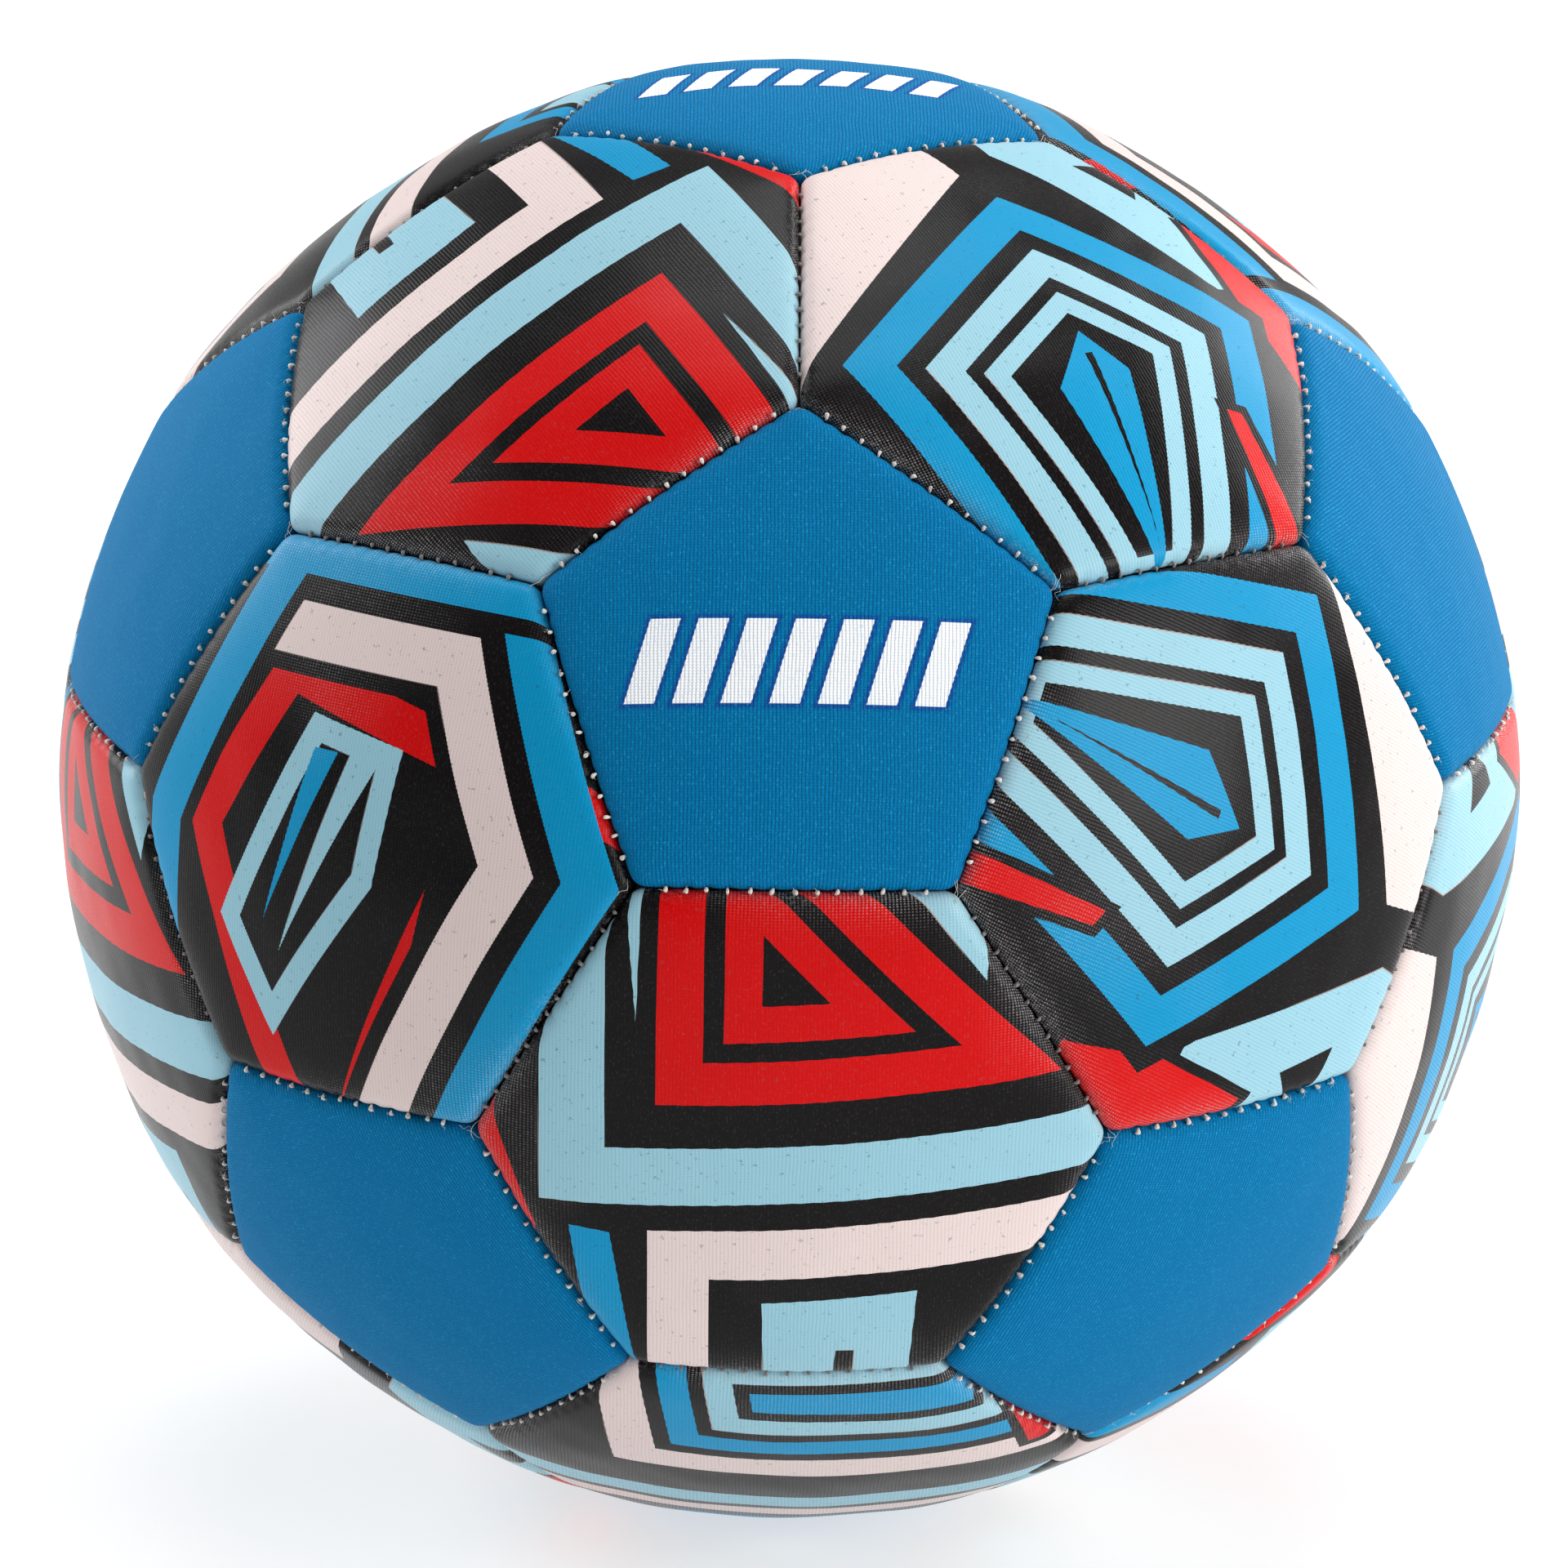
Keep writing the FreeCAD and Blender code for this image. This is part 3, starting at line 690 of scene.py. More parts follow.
def bent_fibre(base, chance, curl, shortest):
    """The points of one fibre, shortened and bent at random."""
    points = base.copy()
    t = points[:, 1] / base[:, 1].max()
    points[:, 1] *= chance.uniform(shortest, 1.0)
    points[:, 0] += chance.uniform(-curl, curl) * t**2 + chance.uniform(-0.4, 0.4) * curl * np.sin(t * 5)
    arch = chance.uniform(0.0, 0.9) * curl * (1 - t**2)
    points[:, 2] += arch + chance.uniform(-0.3, 0.3) * curl * np.sin(t * 4)
    return points


def strewn(points, chance, place, height, tilt, stray):
    """A fibre's points at this height over a place, turned, tilted and strayed at random.

    stray is in millimetres: the spread across, the spread along, and a fixed rise.
    """
    spin = Matrix.Rotation(chance.uniform(0, math.pi), 4, "Z")
    tip = Matrix.Rotation(chance.normal(0, tilt), 4, "X")
    spot = Vector((chance.normal(0, stray[0]), chance.normal(0, stray[1]), stray[2])) * MM
    lift = Matrix.Translation(spot + Vector((0, 0, height)))
    return moved(points, place @ lift @ spin @ tip)


def fibre_shapes(blank, axes, sizes, seed):
    """The points of short loose fibres at every corner where three panels meet."""
    chance = np.random.default_rng(seed)
    base = points_of(blank.data)
    height = seam_radius(sizes) - FIBRE_SINK
    shapes = []
    for near in axes:
        for far in neighbours(axes, near):
            place = aligned(corner_direction(axes, near, far), axes[far])
            for _ in range(int(chance.integers(1, 4))):
                points = bent_fibre(base, chance, 0.8 * MM, 0.5)
                shapes.append(strewn(points, chance, place, height, 0.25, (0.5, 0.5, 0)))
    return shapes


def fuzz_shapes(blank, seams, sizes, seed):
    """The points of the tiny fibres that stand out of the thread along these seams."""
    chance = np.random.default_rng(seed)
    base = points_of(blank.data)
    half_seam = seam_length(sizes) / 2 - sizes.stitch_end_gap
    rim = rim_radius(PENTAGON, sizes)
    shapes = []
    for place in seams:
        for _ in range(int(chance.integers(4, 15))):
            number = round(chance.uniform(-half_seam, half_seam) / sizes.stitch_pitch)
            swing = number * sizes.stitch_pitch / rim
            height = rim_radius(PENTAGON, sizes, swing) - sizes.stitch_sink
            points = bent_fibre(base, chance, 0.25 * MM, 0.4)
            stitch = place @ Matrix.Rotation(swing, 4, "Y")
            shapes.append(strewn(points, chance, stitch, height, 0.5, (0.25, 0.2, 0.15)))
    return shapes


# Prints, in millimetres in a panel's own plane, with +X to the east and +Y to the north.
# A shape is a convex outline, and the bands it holds: (distance in from its edge, colour). What is under
# a band with no colour shows through.

GABLE_PRINT = [
    ([(-35.5, 60), (-35, -9), (60, -2.5), (60, 60)], [(0, "pale"), (9.3, "black")]),
    ([(-20, -12), (60, -6.5), (60, -60), (-20, -60)], [(0, "white"), (8.6, "black")]),
    ([(-4, -24), (18, -22), (16, -60), (-3, -60)], [(0, "pale")]),
    ([(6.5, -33), (9.5, -33), (9, -60), (5, -60)], [(0, "black")]),
    ([(-31, -12.5), (-25, -13), (-20.5, -44), (-27, -44)], [(0, "cyan")]),
    ([(-50, 6), (-42.5, 7), (-35.5, -14), (-40, -24)], [(0, "red")]),
    (
        [(-18.5, 60), (-10, 60), (38, 11.8), (-19, 8.2)],
        [(0, "red"), (6.5, "black"), (9.3, "red"), (14.4, "black")],
    ),
    ([(11, 46), (29, 46), (26.5, 26)], [(0, "pale")]),
    ([(-24, 46), (-20.5, 46), (-21.5, 18)], [(0, "pale")]),
]

HOUSE_PRINT = [
    ([(-50, -1.5), (-1, 30), (-6, 60), (-50, 60)], [(0, "white")]),
    ([(7, 60), (7, 34), (29, 3), (60, 3), (60, 60)], [(0, "pale")]),
    ([(20, 30.5), (34, 31), (27, 22)], [(0, "black")]),
    ([(31, 19), (60, 17), (60, -17), (34, -17), (30.5, 0)], [(0, "black"), (1.6, "red")]),
    (
        [(2, 28.5), (-41, 3.8), (-27, -60), (12, -60), (35.5, -2)],
        [(0, "black"), (3.2, "cyan"), (9.2, "black"), (12.4, "pale")]
        + [(17, "black"), (19.2, "pale"), (22.2, "black")],
    ),
    ([(-9.5, -11), (-1, -2), (3.6, -10), (-5.8, -44)], [(0, "cyan")]),
    ([(-2.4, -6), (-0.8, -6), (-5.7, -44)], [(0, "black")]),
    ([(15.5, -16), (21, -18), (24, -60), (14, -60)], [(0, "black"), (1.5, "red")]),
]

CHEVRON_PRINT = [
    ([(-29.5, -3), (-14.5, 24.5), (60, 8), (60, -60), (-4, -60)], [(0, "red"), (6.4, "black")]),
    ([(19, 7), (6, -60), (-10, -60)], [(0, "black"), (1.3, "red")]),
    (
        [(-60, 41), (24, 41), (43.5, -1), (14, -60), (-60, -60)],
        [(0, "cyan"), (7.5, "black"), (11, "white"), (18.5, "black"), (21, None)],
    ),
    ([(-60, 60), (-24, 60), (-24, 30), (-37, -3), (-60, -3)], [(0, "black")]),
    ([(-39, -3), (-20, 41), (60, 41), (60, -60), (-39, -60)], [(0, "cyan"), (7.5, "black"), (9.8, None)]),
    ([(-7.5, 15.5), (-21.8, -16), (-11, -32), (6.5, -7), (9, 13)], [(0, "pale"), (3.6, "black")]),
    ([(-6.4, 10.8), (-1.8, 10.8), (-13.4, -17)], [(0, "cyan")]),
    ([(0, 10.8), (5.2, 10), (-10.4, -21)], [(0, "pale")]),
]

TERRACE_PRINT = [
    (
        [(-33, 60), (-27, 7), (46, 3), (60, 60)],
        [(0, "black"), (2.4, "white"), (9.2, "black"), (11.6, "cyan"), (16, "black")]
        + [(18.4, "pale"), (22.4, "black"), (24.6, "cyan"), (28, "black"), (30, "pale")],
    ),
    (
        [(-60, -1), (60, -6), (60, -60), (-60, -60)],
        [(0, "pale"), (7, "black"), (9.5, "white"), (16, "black")],
    ),
    ([(-16, -25), (17, -26), (12, -60), (-12, -60)], [(0, "cyan"), (5, "black"), (7.5, "pale")]),
    ([(30, 30), (34, 8), (60, 8), (60, 30)], [(0, "black"), (1.6, "red")]),
]

PRINTS = {"gable": GABLE_PRINT, "house": HOUSE_PRINT, "chevron": CHEVRON_PRINT, "terrace": TERRACE_PRINT}

# The print of each hexagon, and how far it is turned, in degrees
HEXAGON_PRINTS = {
    "top_1": ("house", 0),
    "top_2": ("chevron", 120),
    "top_3": ("gable", 60),
    "top_4": ("terrace", 180),
    "top_5": ("gable", -120),
    "upper_1": ("house", -120),
    "upper_2": ("gable", 180),
    "upper_3": ("terrace", 60),
    "upper_4": ("house", 120),
    "upper_5": ("chevron", 0),
    "lower_1": ("gable", 0),
    "lower_2": ("house", 60),
    "lower_3": ("chevron", -60),
    "lower_4": ("terrace", 120),
    "lower_5": ("gable", 0),
    "bottom_1": ("terrace", 0),
    "bottom_2": ("gable", -60),
    "bottom_3": ("house", 180),
    "bottom_4": ("chevron", 60),
    "bottom_5": ("house", -60),
}

# How far the knit of each pentagon is turned, in degrees
PENTAGON_TURNS = {
    "top": 90,
    "upper_1": -90,
    "upper_2": 0,
    "upper_3": 50,
    "upper_4": -40,
    "upper_5": -90,
    "lower_1": 45,
    "lower_2": -20,
    "lower_3": 90,
    "lower_4": 20,
    "lower_5": -30,
    "bottom": 0,
}


# Node building


class Nodes:
    """Adds nodes to a tree, and links or sets their inputs."""

    def __init__(self, tree):
        self.tree = tree

    def add(self, kind, inputs=None, **settings):
        made = self.tree.nodes.new(kind)
        for name, value in settings.items():
            setattr(made, name, value)
        for key, value in (inputs or {}).items():
            socket = made.inputs[key]
            if isinstance(value, bpy.types.NodeSocket):
                self.tree.links.new(value, socket)
            else:
                socket.default_value = value
        return made

    def math(self, operation, *values, clamp=False):
        inputs = dict(enumerate(values))
        return self.add("ShaderNodeMath", inputs, operation=operation, use_clamp=clamp).outputs[0]

    def times(self, first, second, clamp=False):
        return self.math("MULTIPLY", first, second, clamp=clamp)

    def vector(self, operation, *values):
        made = self.add("ShaderNodeVectorMath", dict(enumerate(values)), operation=operation)
        return made.outputs["Value" if operation == "DOT_PRODUCT" else "Vector"]

    def mix(self, factor, first, second, blend="MIX"):
        inputs = {0: factor, 6: first, 7: second}
        return self.add("ShaderNodeMix", inputs, data_type="RGBA", blend_type=blend).outputs[2]

    def blend_vectors(self, factor, first, second):
        made = self.add("ShaderNodeMix", {0: factor, 4: first, 5: second}, data_type="VECTOR")
        return made.outputs[1]

    def steps(self, value, stops):
        """A ramp of plain steps. A stop's colour has four parts, and the last one is how much it covers."""
        made = self.add("ShaderNodeValToRGB", {0: value})
        made.color_ramp.interpolation = "CONSTANT"
        elements = made.color_ramp.elements
        elements.remove(elements[1])
        elements[0].position = 0
        elements[0].color = (0, 0, 0, 0)
        for position, colour in stops:
            elements.new(position).color = colour
        return made

    def range(self, value, low, high, new_low, new_high):
        inputs = {0: value, 1: low, 2: high, 3: new_low, 4: new_high}
        return self.add("ShaderNodeMapRange", inputs).outputs[0]

    def noise(self, vector, scale, detail=2.0, roughness=0.5):
        inputs = {"Vector": vector, "Scale": scale, "Detail": detail, "Roughness": roughness}
        return self.add("ShaderNodeTexNoise", inputs).outputs["Fac"]

    def body(self):
        """The place on the ball, in metres."""
        return self.add("ShaderNodeTexCoord").outputs["Object"]

    def parts(self, vector):
        return self.add("ShaderNodeSeparateXYZ", {0: vector}).outputs

    def shaded(self, colour, shade):
        """The colour multiplied by the shade."""
        grey = self.add("ShaderNodeCombineColor", {0: shade, 1: shade, 2: shade}).outputs[0]
        return self.mix(1.0, colour, grey, "MULTIPLY")

    def brightness(self, colour):
        return self.add("ShaderNodeRGBToBW", {0: colour}).outputs[0]

    def group(self, tree, place):
        return self.add("ShaderNodeGroup", {0: place}, node_tree=tree).outputs

    def feed(self, node, *values):
        """Links the values to the node's inputs, in order."""
        for socket, value in zip(node.inputs, values):
            self.tree.links.new(value, socket)


def opaque(colour):
    return (*colour, 1.0)


def new_material(name):
    """A new material, its nodes and its shader, with nothing but the shader and the output in it."""
    material = bpy.data.materials.new(name)
    material.use_nodes = True
    tree = material.node_tree
    tree.nodes.clear()
    nodes = Nodes(tree)
    shader = nodes.add("ShaderNodeBsdfPrincipled")
    output = nodes.add("ShaderNodeOutputMaterial")
    tree.links.new(shader.outputs[0], output.inputs[0])
    material.diffuse_color = (0.5, 0.5, 0.5, 1)
    return material, nodes, shader


def finish(nodes, shader, colour, roughness, height, strength, relief):
    """Links a shader's colour and roughness, and a bump with this relief in millimetres."""
    bump = nodes.add("ShaderNodeBump", {"Strength": strength, "Distance": relief * MM, "Height": height})
    for name, value in (("Base Color", colour), ("Roughness", roughness), ("Normal", bump.outputs[0])):
        nodes.tree.links.new(value, shader.inputs[name])


def new_group(name, outputs):
    """A node group that takes a place in millimetres, its nodes, that place and its output node."""
    tree = bpy.data.node_groups.new(name, "ShaderNodeTree")
    tree.interface.new_socket("Place", in_out="INPUT", socket_type="NodeSocketVector")
    for title, kind in outputs:
        tree.interface.new_socket(title, in_out="OUTPUT", socket_type=kind)
    nodes = Nodes(tree)
    place = nodes.add("NodeGroupInput").outputs[0]
    end = nodes.add("NodeGroupOutput")
    return tree, nodes, place, end


def knit_group():
    """Loops of a fine jersey knit: their uneven height, a painted-glint mask for a few, and the plain
    loops.
    """
    outputs = [("Height", "NodeSocketFloat"), ("Glint", "NodeSocketFloat"), ("Loop", "NodeSocketFloat")]
    tree, nodes, place, end = new_group("Knit loops", outputs)
    wander = nodes.noise(place, 0.12, 1.0)
    x, y, _ = nodes.parts(place)
    column = nodes.math("MULTIPLY_ADD", x, 1 / KNIT_WALE, wander)
    row = nodes.times(y, 1 / KNIT_COURSE)
    arm = nodes.math("ABSOLUTE", nodes.math("MULTIPLY_ADD", nodes.math("FRACT", column), 2.0, -1.0))
    slant = nodes.math("MULTIPLY_ADD", arm, 0.4, row)
    wave = nodes.math("MULTIPLY_ADD", nodes.math("SINE", nodes.times(slant, 2 * math.pi)), 0.2, 0.8)
    ridge = nodes.math("SUBTRACT", 1.0, nodes.math("POWER", arm, 2.5))
    loop = nodes.times(ridge, wave)
    patchy = nodes.noise(place, 1.9, 3.0, 0.6)
    height = nodes.math("MULTIPLY_ADD", patchy, 0.6, loop)
    upright = nodes.vector("MULTIPLY", place, (1.0, 0.45, 1.0))
    # Painted glints: a few bright spots on the loop tops, which the materials paint into the colour
    sparkle = nodes.range(nodes.noise(upright, 4.2, 2.0, 0.65), 0.55, 0.7, 0.0, 1.0)
    nodes.feed(end, height, nodes.times(sparkle, loop), loop)
    return tree


def edge_planes(corners):
    """(x part, y part, constant) of each edge's distance, positive on the outline's inside."""
    middle = np.mean(corners, axis=0)
    planes = []
    for start, end in zip(corners, corners[1:] + corners[:1]):
        along = np.subtract(end, start)
        normal = np.array((-along[1], along[0])) / np.linalg.norm(along)
        constant = -float(np.dot(normal, start))
        if np.dot(normal, middle) + constant < 0:
            normal = -normal
            constant = -constant
        planes.append((float(normal[0]), float(normal[1]), constant))
    return planes


def print_group(name, shapes, palette):
    """A print: shapes laid one over another on black, each with its bands."""
    tree, nodes, place, end = new_group(f"Print {name}", [("Colour", "NodeSocketColor")])
    colour = opaque(palette["black"])
    for corners, bands in shapes:
        depth = None
        for x, y, constant in edge_planes(corners):
            plane = (x / PRINT_DEPTH, y / PRINT_DEPTH, constant / PRINT_DEPTH)
            distance = nodes.vector("DOT_PRODUCT", place, plane)
            depth = distance if depth is None else nodes.math("MINIMUM", depth, distance)
        stops = []
        for start, ink in bands:
            stops.append((max(start / PRINT_DEPTH, 0.00001), opaque(palette[ink]) if ink else (0, 0, 0, 0)))
        ramp = nodes.steps(depth, stops)
        colour = nodes.mix(ramp.outputs["Alpha"], colour, ramp.outputs["Color"])
    nodes.feed(end, colour)
    return tree


def mark_group():
    """A plain mark: a row of slanted bars, with a darker edge. Gives the bars' and the edge's cover."""
    outputs = [("Bars", "NodeSocketFloat"), ("Edge", "NodeSocketFloat")]
    tree, nodes, place, end = new_group("Bars mark", outputs)
    pitch = 6.6
    half_bar = 2.1
    half_height = 5.9
    half_length = 22.6
    x, y, _ = nodes.parts(place)
    slanted = nodes.math("MULTIPLY_ADD", y, -0.3, x)
    phase = nodes.math("FRACT", nodes.math("MULTIPLY_ADD", slanted, 1 / pitch, 100.5))
    middle = nodes.math("ABSOLUTE", nodes.math("SUBTRACT", phase, 0.5))
    across = nodes.math("MULTIPLY_ADD", middle, -pitch, half_bar)
    tall = nodes.math("SUBTRACT", half_height, nodes.math("ABSOLUTE", y))
    wide = nodes.math("SUBTRACT", half_length, nodes.math("ABSOLUTE", slanted))
    depth = nodes.math("MINIMUM", nodes.math("MINIMUM", across, tall), wide)
    bars = nodes.range(depth, 0.0, 0.08, 0.0, 1.0)
    edge = nodes.range(depth, -0.9, -0.3, 0.0, 1.0)
    nodes.feed(end, bars, edge)
    return tree


def panel_place(nodes):
    """The place in millimetres in the panel's own plane, with 1 as its third part."""
    uv = nodes.add("ShaderNodeUVMap", uv_map=PANEL_MAP).outputs[0]
    half = PANEL_SPAN / 2
    return nodes.vector("MULTIPLY_ADD", uv, (PANEL_SPAN, PANEL_SPAN, 0), (-half, -half, 1))


def ragged(nodes, place):
    """The place drawn part of the way to the middle of its knit cell, as ink soaks into loops."""
    cell = nodes.vector("SNAP", place, (KNIT_WALE / 2, KNIT_COURSE / 2, 1))
    return nodes.blend_vectors(0.4, place, cell)


def print_material(name, knit, pattern):
    """Knit printed with a pattern. Dark inks lie thicker and are glossier."""
    material, nodes, shader = new_material(name)
    place = panel_place(nodes)
    body = nodes.body()
    height, glint, loop = nodes.group(knit, place)
    soaked = ragged(nodes, place)
    ink = nodes.group(pattern, soaked)[0]
    cover = nodes.range(nodes.brightness(ink), 0.02, 0.22, 1.0, 0.0)

    # Ink: painted shade between the loops and painted light on their tops under light inks, a little
    # fading, and specks in the light ones
    lightness = nodes.math("SUBTRACT", 1.0, cover)
    shade = nodes.math("MULTIPLY_ADD", lightness, nodes.range(loop, 0.0, 1.0, -0.14, 0.06), 1.0)
    fade = nodes.range(nodes.noise(place, 0.05, 3.0), 0.3, 0.7, 0.0, 0.08)
    shaded = nodes.shaded(nodes.mix(fade, ink, FADED_INK, "MULTIPLY"), shade)
    specks = nodes.range(nodes.noise(place, 1.1, 3.0, 0.7), 0.635, 0.67, 0.0, 0.45)
    specked = nodes.mix(nodes.times(specks, lightness), shaded, INK_SPECK)

    # A thin line of bare knit beside some bands, where the black was printed a little off its place
    aside = nodes.vector("ADD", soaked, (0.15, 0.09, 0))
    light = nodes.range(nodes.brightness(nodes.group(pattern, aside)[0]), 0.25, 0.4, 0.0, 1.0)
    missed = nodes.times(nodes.range(cover, 0.9, 1.0, 0.0, 1.0), light)
    gaps = nodes.range(nodes.noise(body, 17.0, 2.0), 0.5, 0.58, 0.0, 0.55)
    lined = nodes.mix(nodes.times(missed, gaps), specked, BARE_LINE)

    # Wear and painted glints: cracked ink at the seams, and the tops of the loops showing where the fabric
    # is stretched, also as painted glints
    rim = nodes.add("ShaderNodeAttribute", attribute_name=RIM).outputs["Fac"]
    crack = nodes.range(nodes.noise(place, 2.6, 3.0, 0.7), 0.5, 0.62, 0.0, 1.0)
    rubbed = nodes.range(nodes.noise(place, 0.05, 2.0), 0.46, 0.66, 0.1, 0.9)
    cracked = nodes.times(nodes.times(rim, crack), rubbed, clamp=True)
    patch = nodes.noise(body, 24.0, 2.0)
    near_seam = nodes.times(nodes.math("POWER", rim, 0.35), nodes.range(patch, 0.46, 0.6, 0.0, 1.0))
    # Partly painted highlight: the broad patches away from the seams are painted glints of the ink
    stretched_and_glinting = nodes.math("MAXIMUM", near_seam, nodes.range(patch, 0.55, 0.7, 0.0, 0.24))
    tops = nodes.times(nodes.range(loop, 0.62, 0.86, 0.0, 1.3), nodes.range(crack, 0.0, 1.0, 0.3, 0.8))
    through = nodes.times(stretched_and_glinting, tops, clamp=True)
    wear_and_glints = nodes.math("MAXIMUM", nodes.times(glint, 0.04), nodes.math("MAXIMUM", cracked, through))
    colour = nodes.mix(wear_and_glints, lined, WORN_KNIT_AND_GLINT)

    roughness = nodes.math("MULTIPLY_ADD", cover, -0.1, nodes.range(height, 0.2, 1.4, 0.46, 0.3))
    finish(nodes, shader, colour, roughness, height, strength=0.3, relief=0.07)
    shader.inputs["Specular IOR Level"].default_value = 0.11
    return material


def jersey_material(name, knit, colours, mark=None):
    """Dyed jersey knit, with a mark if one is given."""
    material, nodes, shader = new_material(name)
    place = panel_place(nodes)
    height, glint, loop = nodes.group(knit, place)
    base = opaque(colours.jersey)
    if mark is not None:
        bars, edge = nodes.group(mark, ragged(nodes, place))
        base = nodes.mix(edge, base, opaque(colours.halo))
        base = nodes.mix(bars, base, MARK_WHITE)
    # Painted shade between the loops and painted light on their tops
    shaded = nodes.shaded(base, nodes.range(loop, 0.0, 1.0, 0.6, 1.2))
    cloudy = nodes.range(nodes.noise(place, 0.06, 4.0), 0.3, 0.7, 0.0, 0.14)
    clouded = nodes.mix(cloudy, shaded, JERSEY_CLOUD, "MULTIPLY")
    # Painted glints: a paler blue painted on a few loop tops
    lit = nodes.mix(nodes.times(glint, 0.5), clouded, JERSEY_GLINT)
    roughness = nodes.range(height, 0.2, 1.4, 0.74, 0.6)
    finish(nodes, shader, lit, roughness, height, strength=0.6, relief=0.12)
    shader.inputs["Specular IOR Level"].default_value = 0.05
    shader.inputs["Sheen Weight"].default_value = 0.05
    shader.inputs["Sheen Roughness"].default_value = 0.25
    shader.inputs["Sheen Tint"].default_value = JERSEY_SHEEN
    return material


def thread_material(name, colour):
    """Twisted sewing thread, with its own map running round and along it."""
    material, nodes, shader = new_material(name)
    uv = nodes.add("ShaderNodeUVMap", uv_map="Thread").outputs[0]
    around, along, _ = nodes.parts(uv)
    wound = nodes.math("MULTIPLY_ADD", along, 5.0, nodes.times(around, 2.0))
    ply = nodes.math("ABSOLUTE", nodes.math("SINE", nodes.times(wound, math.pi)))
    body = nodes.body()
    fuzz = nodes.noise(body, 9000.0, 2.0, 0.6)
    soiled = nodes.range(nodes.noise(body, 420.0, 2.0, 0.6), 0.36, 0.64, -0.3, 0.12)
    clean = nodes.math("ADD", soiled, nodes.range(fuzz, 0.3, 0.7, 0.45, 0.75))
    # Painted shade in the grooves between the plies, with soiled spots and random fuzz: the colour goes
    # towards deep
    shade = nodes.math("MULTIPLY_ADD", ply, 0.35, clean, clamp=True)
    deep = opaque([part * share for part, share in zip(colour, (0.34, 0.29, 0.25))])
    tint = nodes.mix(shade, deep, opaque(colour))
    roughness = nodes.range(fuzz, 0.3, 0.7, 0.55, 0.75)
    finish(nodes, shader, tint, roughness, ply, strength=0.6, relief=0.05)
    shader.inputs["Sheen Weight"].default_value = 0.2
    return material


def rubber_material(name, colour, roughness, grain):
    """Moulded rubber with a fine grain and a dusty bloom."""
    material, nodes, shader = new_material(name)
    body = nodes.body()
    fine = nodes.noise(body, grain, 3.0, 0.6)
    bloom = nodes.noise(body, 60.0, 4.0, 0.6)
    dusty = nodes.range(bloom, 0.35, 0.75, 0.0, 0.22)
    tint = nodes.mix(dusty, opaque(colour), RUBBER_BLOOM)
    rough = nodes.math("MULTIPLY_ADD", fine, 0.2, roughness - 0.1)
    finish(nodes, shader, tint, rough, fine, strength=0.4, relief=0.08)
    return material


def woven_material(name, colour, pitch):
    """Plain woven cloth, from the place on the ball."""
    material, nodes, shader = new_material(name)
    body = nodes.body()
    turns = 2 * math.pi / pitch
    warp, weft, third = [nodes.math("SINE", nodes.times(part, turns)) for part in nodes.parts(body)]
    weave = nodes.math("MULTIPLY_ADD", nodes.times(warp, weft), third, 0.5)
    stain = nodes.noise(body, 45.0, 4.0, 0.6)
    shade = nodes.math("MULTIPLY_ADD", weave, 0.25, nodes.range(stain, 0.3, 0.7, 0.5, 0.85))
    tint = nodes.mix(shade, opaque([part * 0.6 for part in colour]), opaque(colour))
    roughness = nodes.range(stain, 0.3, 0.7, 0.7, 0.9)
    finish(nodes, shader, tint, roughness, weave, strength=0.5, relief=0.1)
    return material


def floor_material(colour):
    """Pale paper with a faint unevenness. It glows as well: painted light that whitens the floor and lights
    the ball from below.
    """
    material, nodes, shader = new_material("Paper sweep")
    body = nodes.body()
    fibres = nodes.noise(body, 300.0, 3.0, 0.6)
    tint = nodes.mix(nodes.range(fibres, 0.3, 0.7, 0.0, 0.04), opaque(colour), PAPER_FIBRE)
    nodes.tree.links.new(tint, shader.inputs["Base Color"])
    shader.inputs["Roughness"].default_value = 0.9
    shader.inputs["Specular IOR Level"].default_value = 0.1
    # Painted light: the paper glows, though it is no lamp
    shader.inputs["Emission Color"].default_value = (1, 1, 1, 1)
    shader.inputs["Emission Strength"].default_value = 0.62
    return material


def settings():
    scene = bpy.context.scene
    return scene.ball_sizes, scene.ball_colours, scene.ball_stage


def cover_knit():
    return bpy.data.node_groups.get("Knit loops") or knit_group()


def lay_panels(kind, outline, sizes, places, looks, seed):
    """{name: piece} of the panels with this outline. looks has each one's material, and its map's turn."""
    blank = panel_blank(f"{kind} blank", outline, sizes)
    swell = inflated(f"{kind} trial", blank, outline, sizes)
    pieces = {}
    for number, (name, place) in enumerate(places.items()):
        material, turn = looks[name]
        title = f"{kind}_panel_{name}"
        pieces[name] = make_panel(title, blank, outline, sizes, place, turn, seed + number, material, swell)
    discard(blank)
    return pieces


def sew(kind, outline, sizes, seams, sink, diameter, thread, seed):
    """{name: piece} of the stitches, one piece for each group of seams."""
    blank = thread_blank(f"{kind} stitch", sizes.stitch_length, diameter, sides=6, segments=4)
    pieces = {}
    for number, (name, places) in enumerate(seams.items()):
        shapes = stitch_shapes(blank, places, outline, sizes, sink, seed + number)
        pieces[name] = new_piece(f"stitches_{kind}_{name}", repeated("Stitches", blank, shapes), thread)
    discard(blank)
    return pieces


# Operators


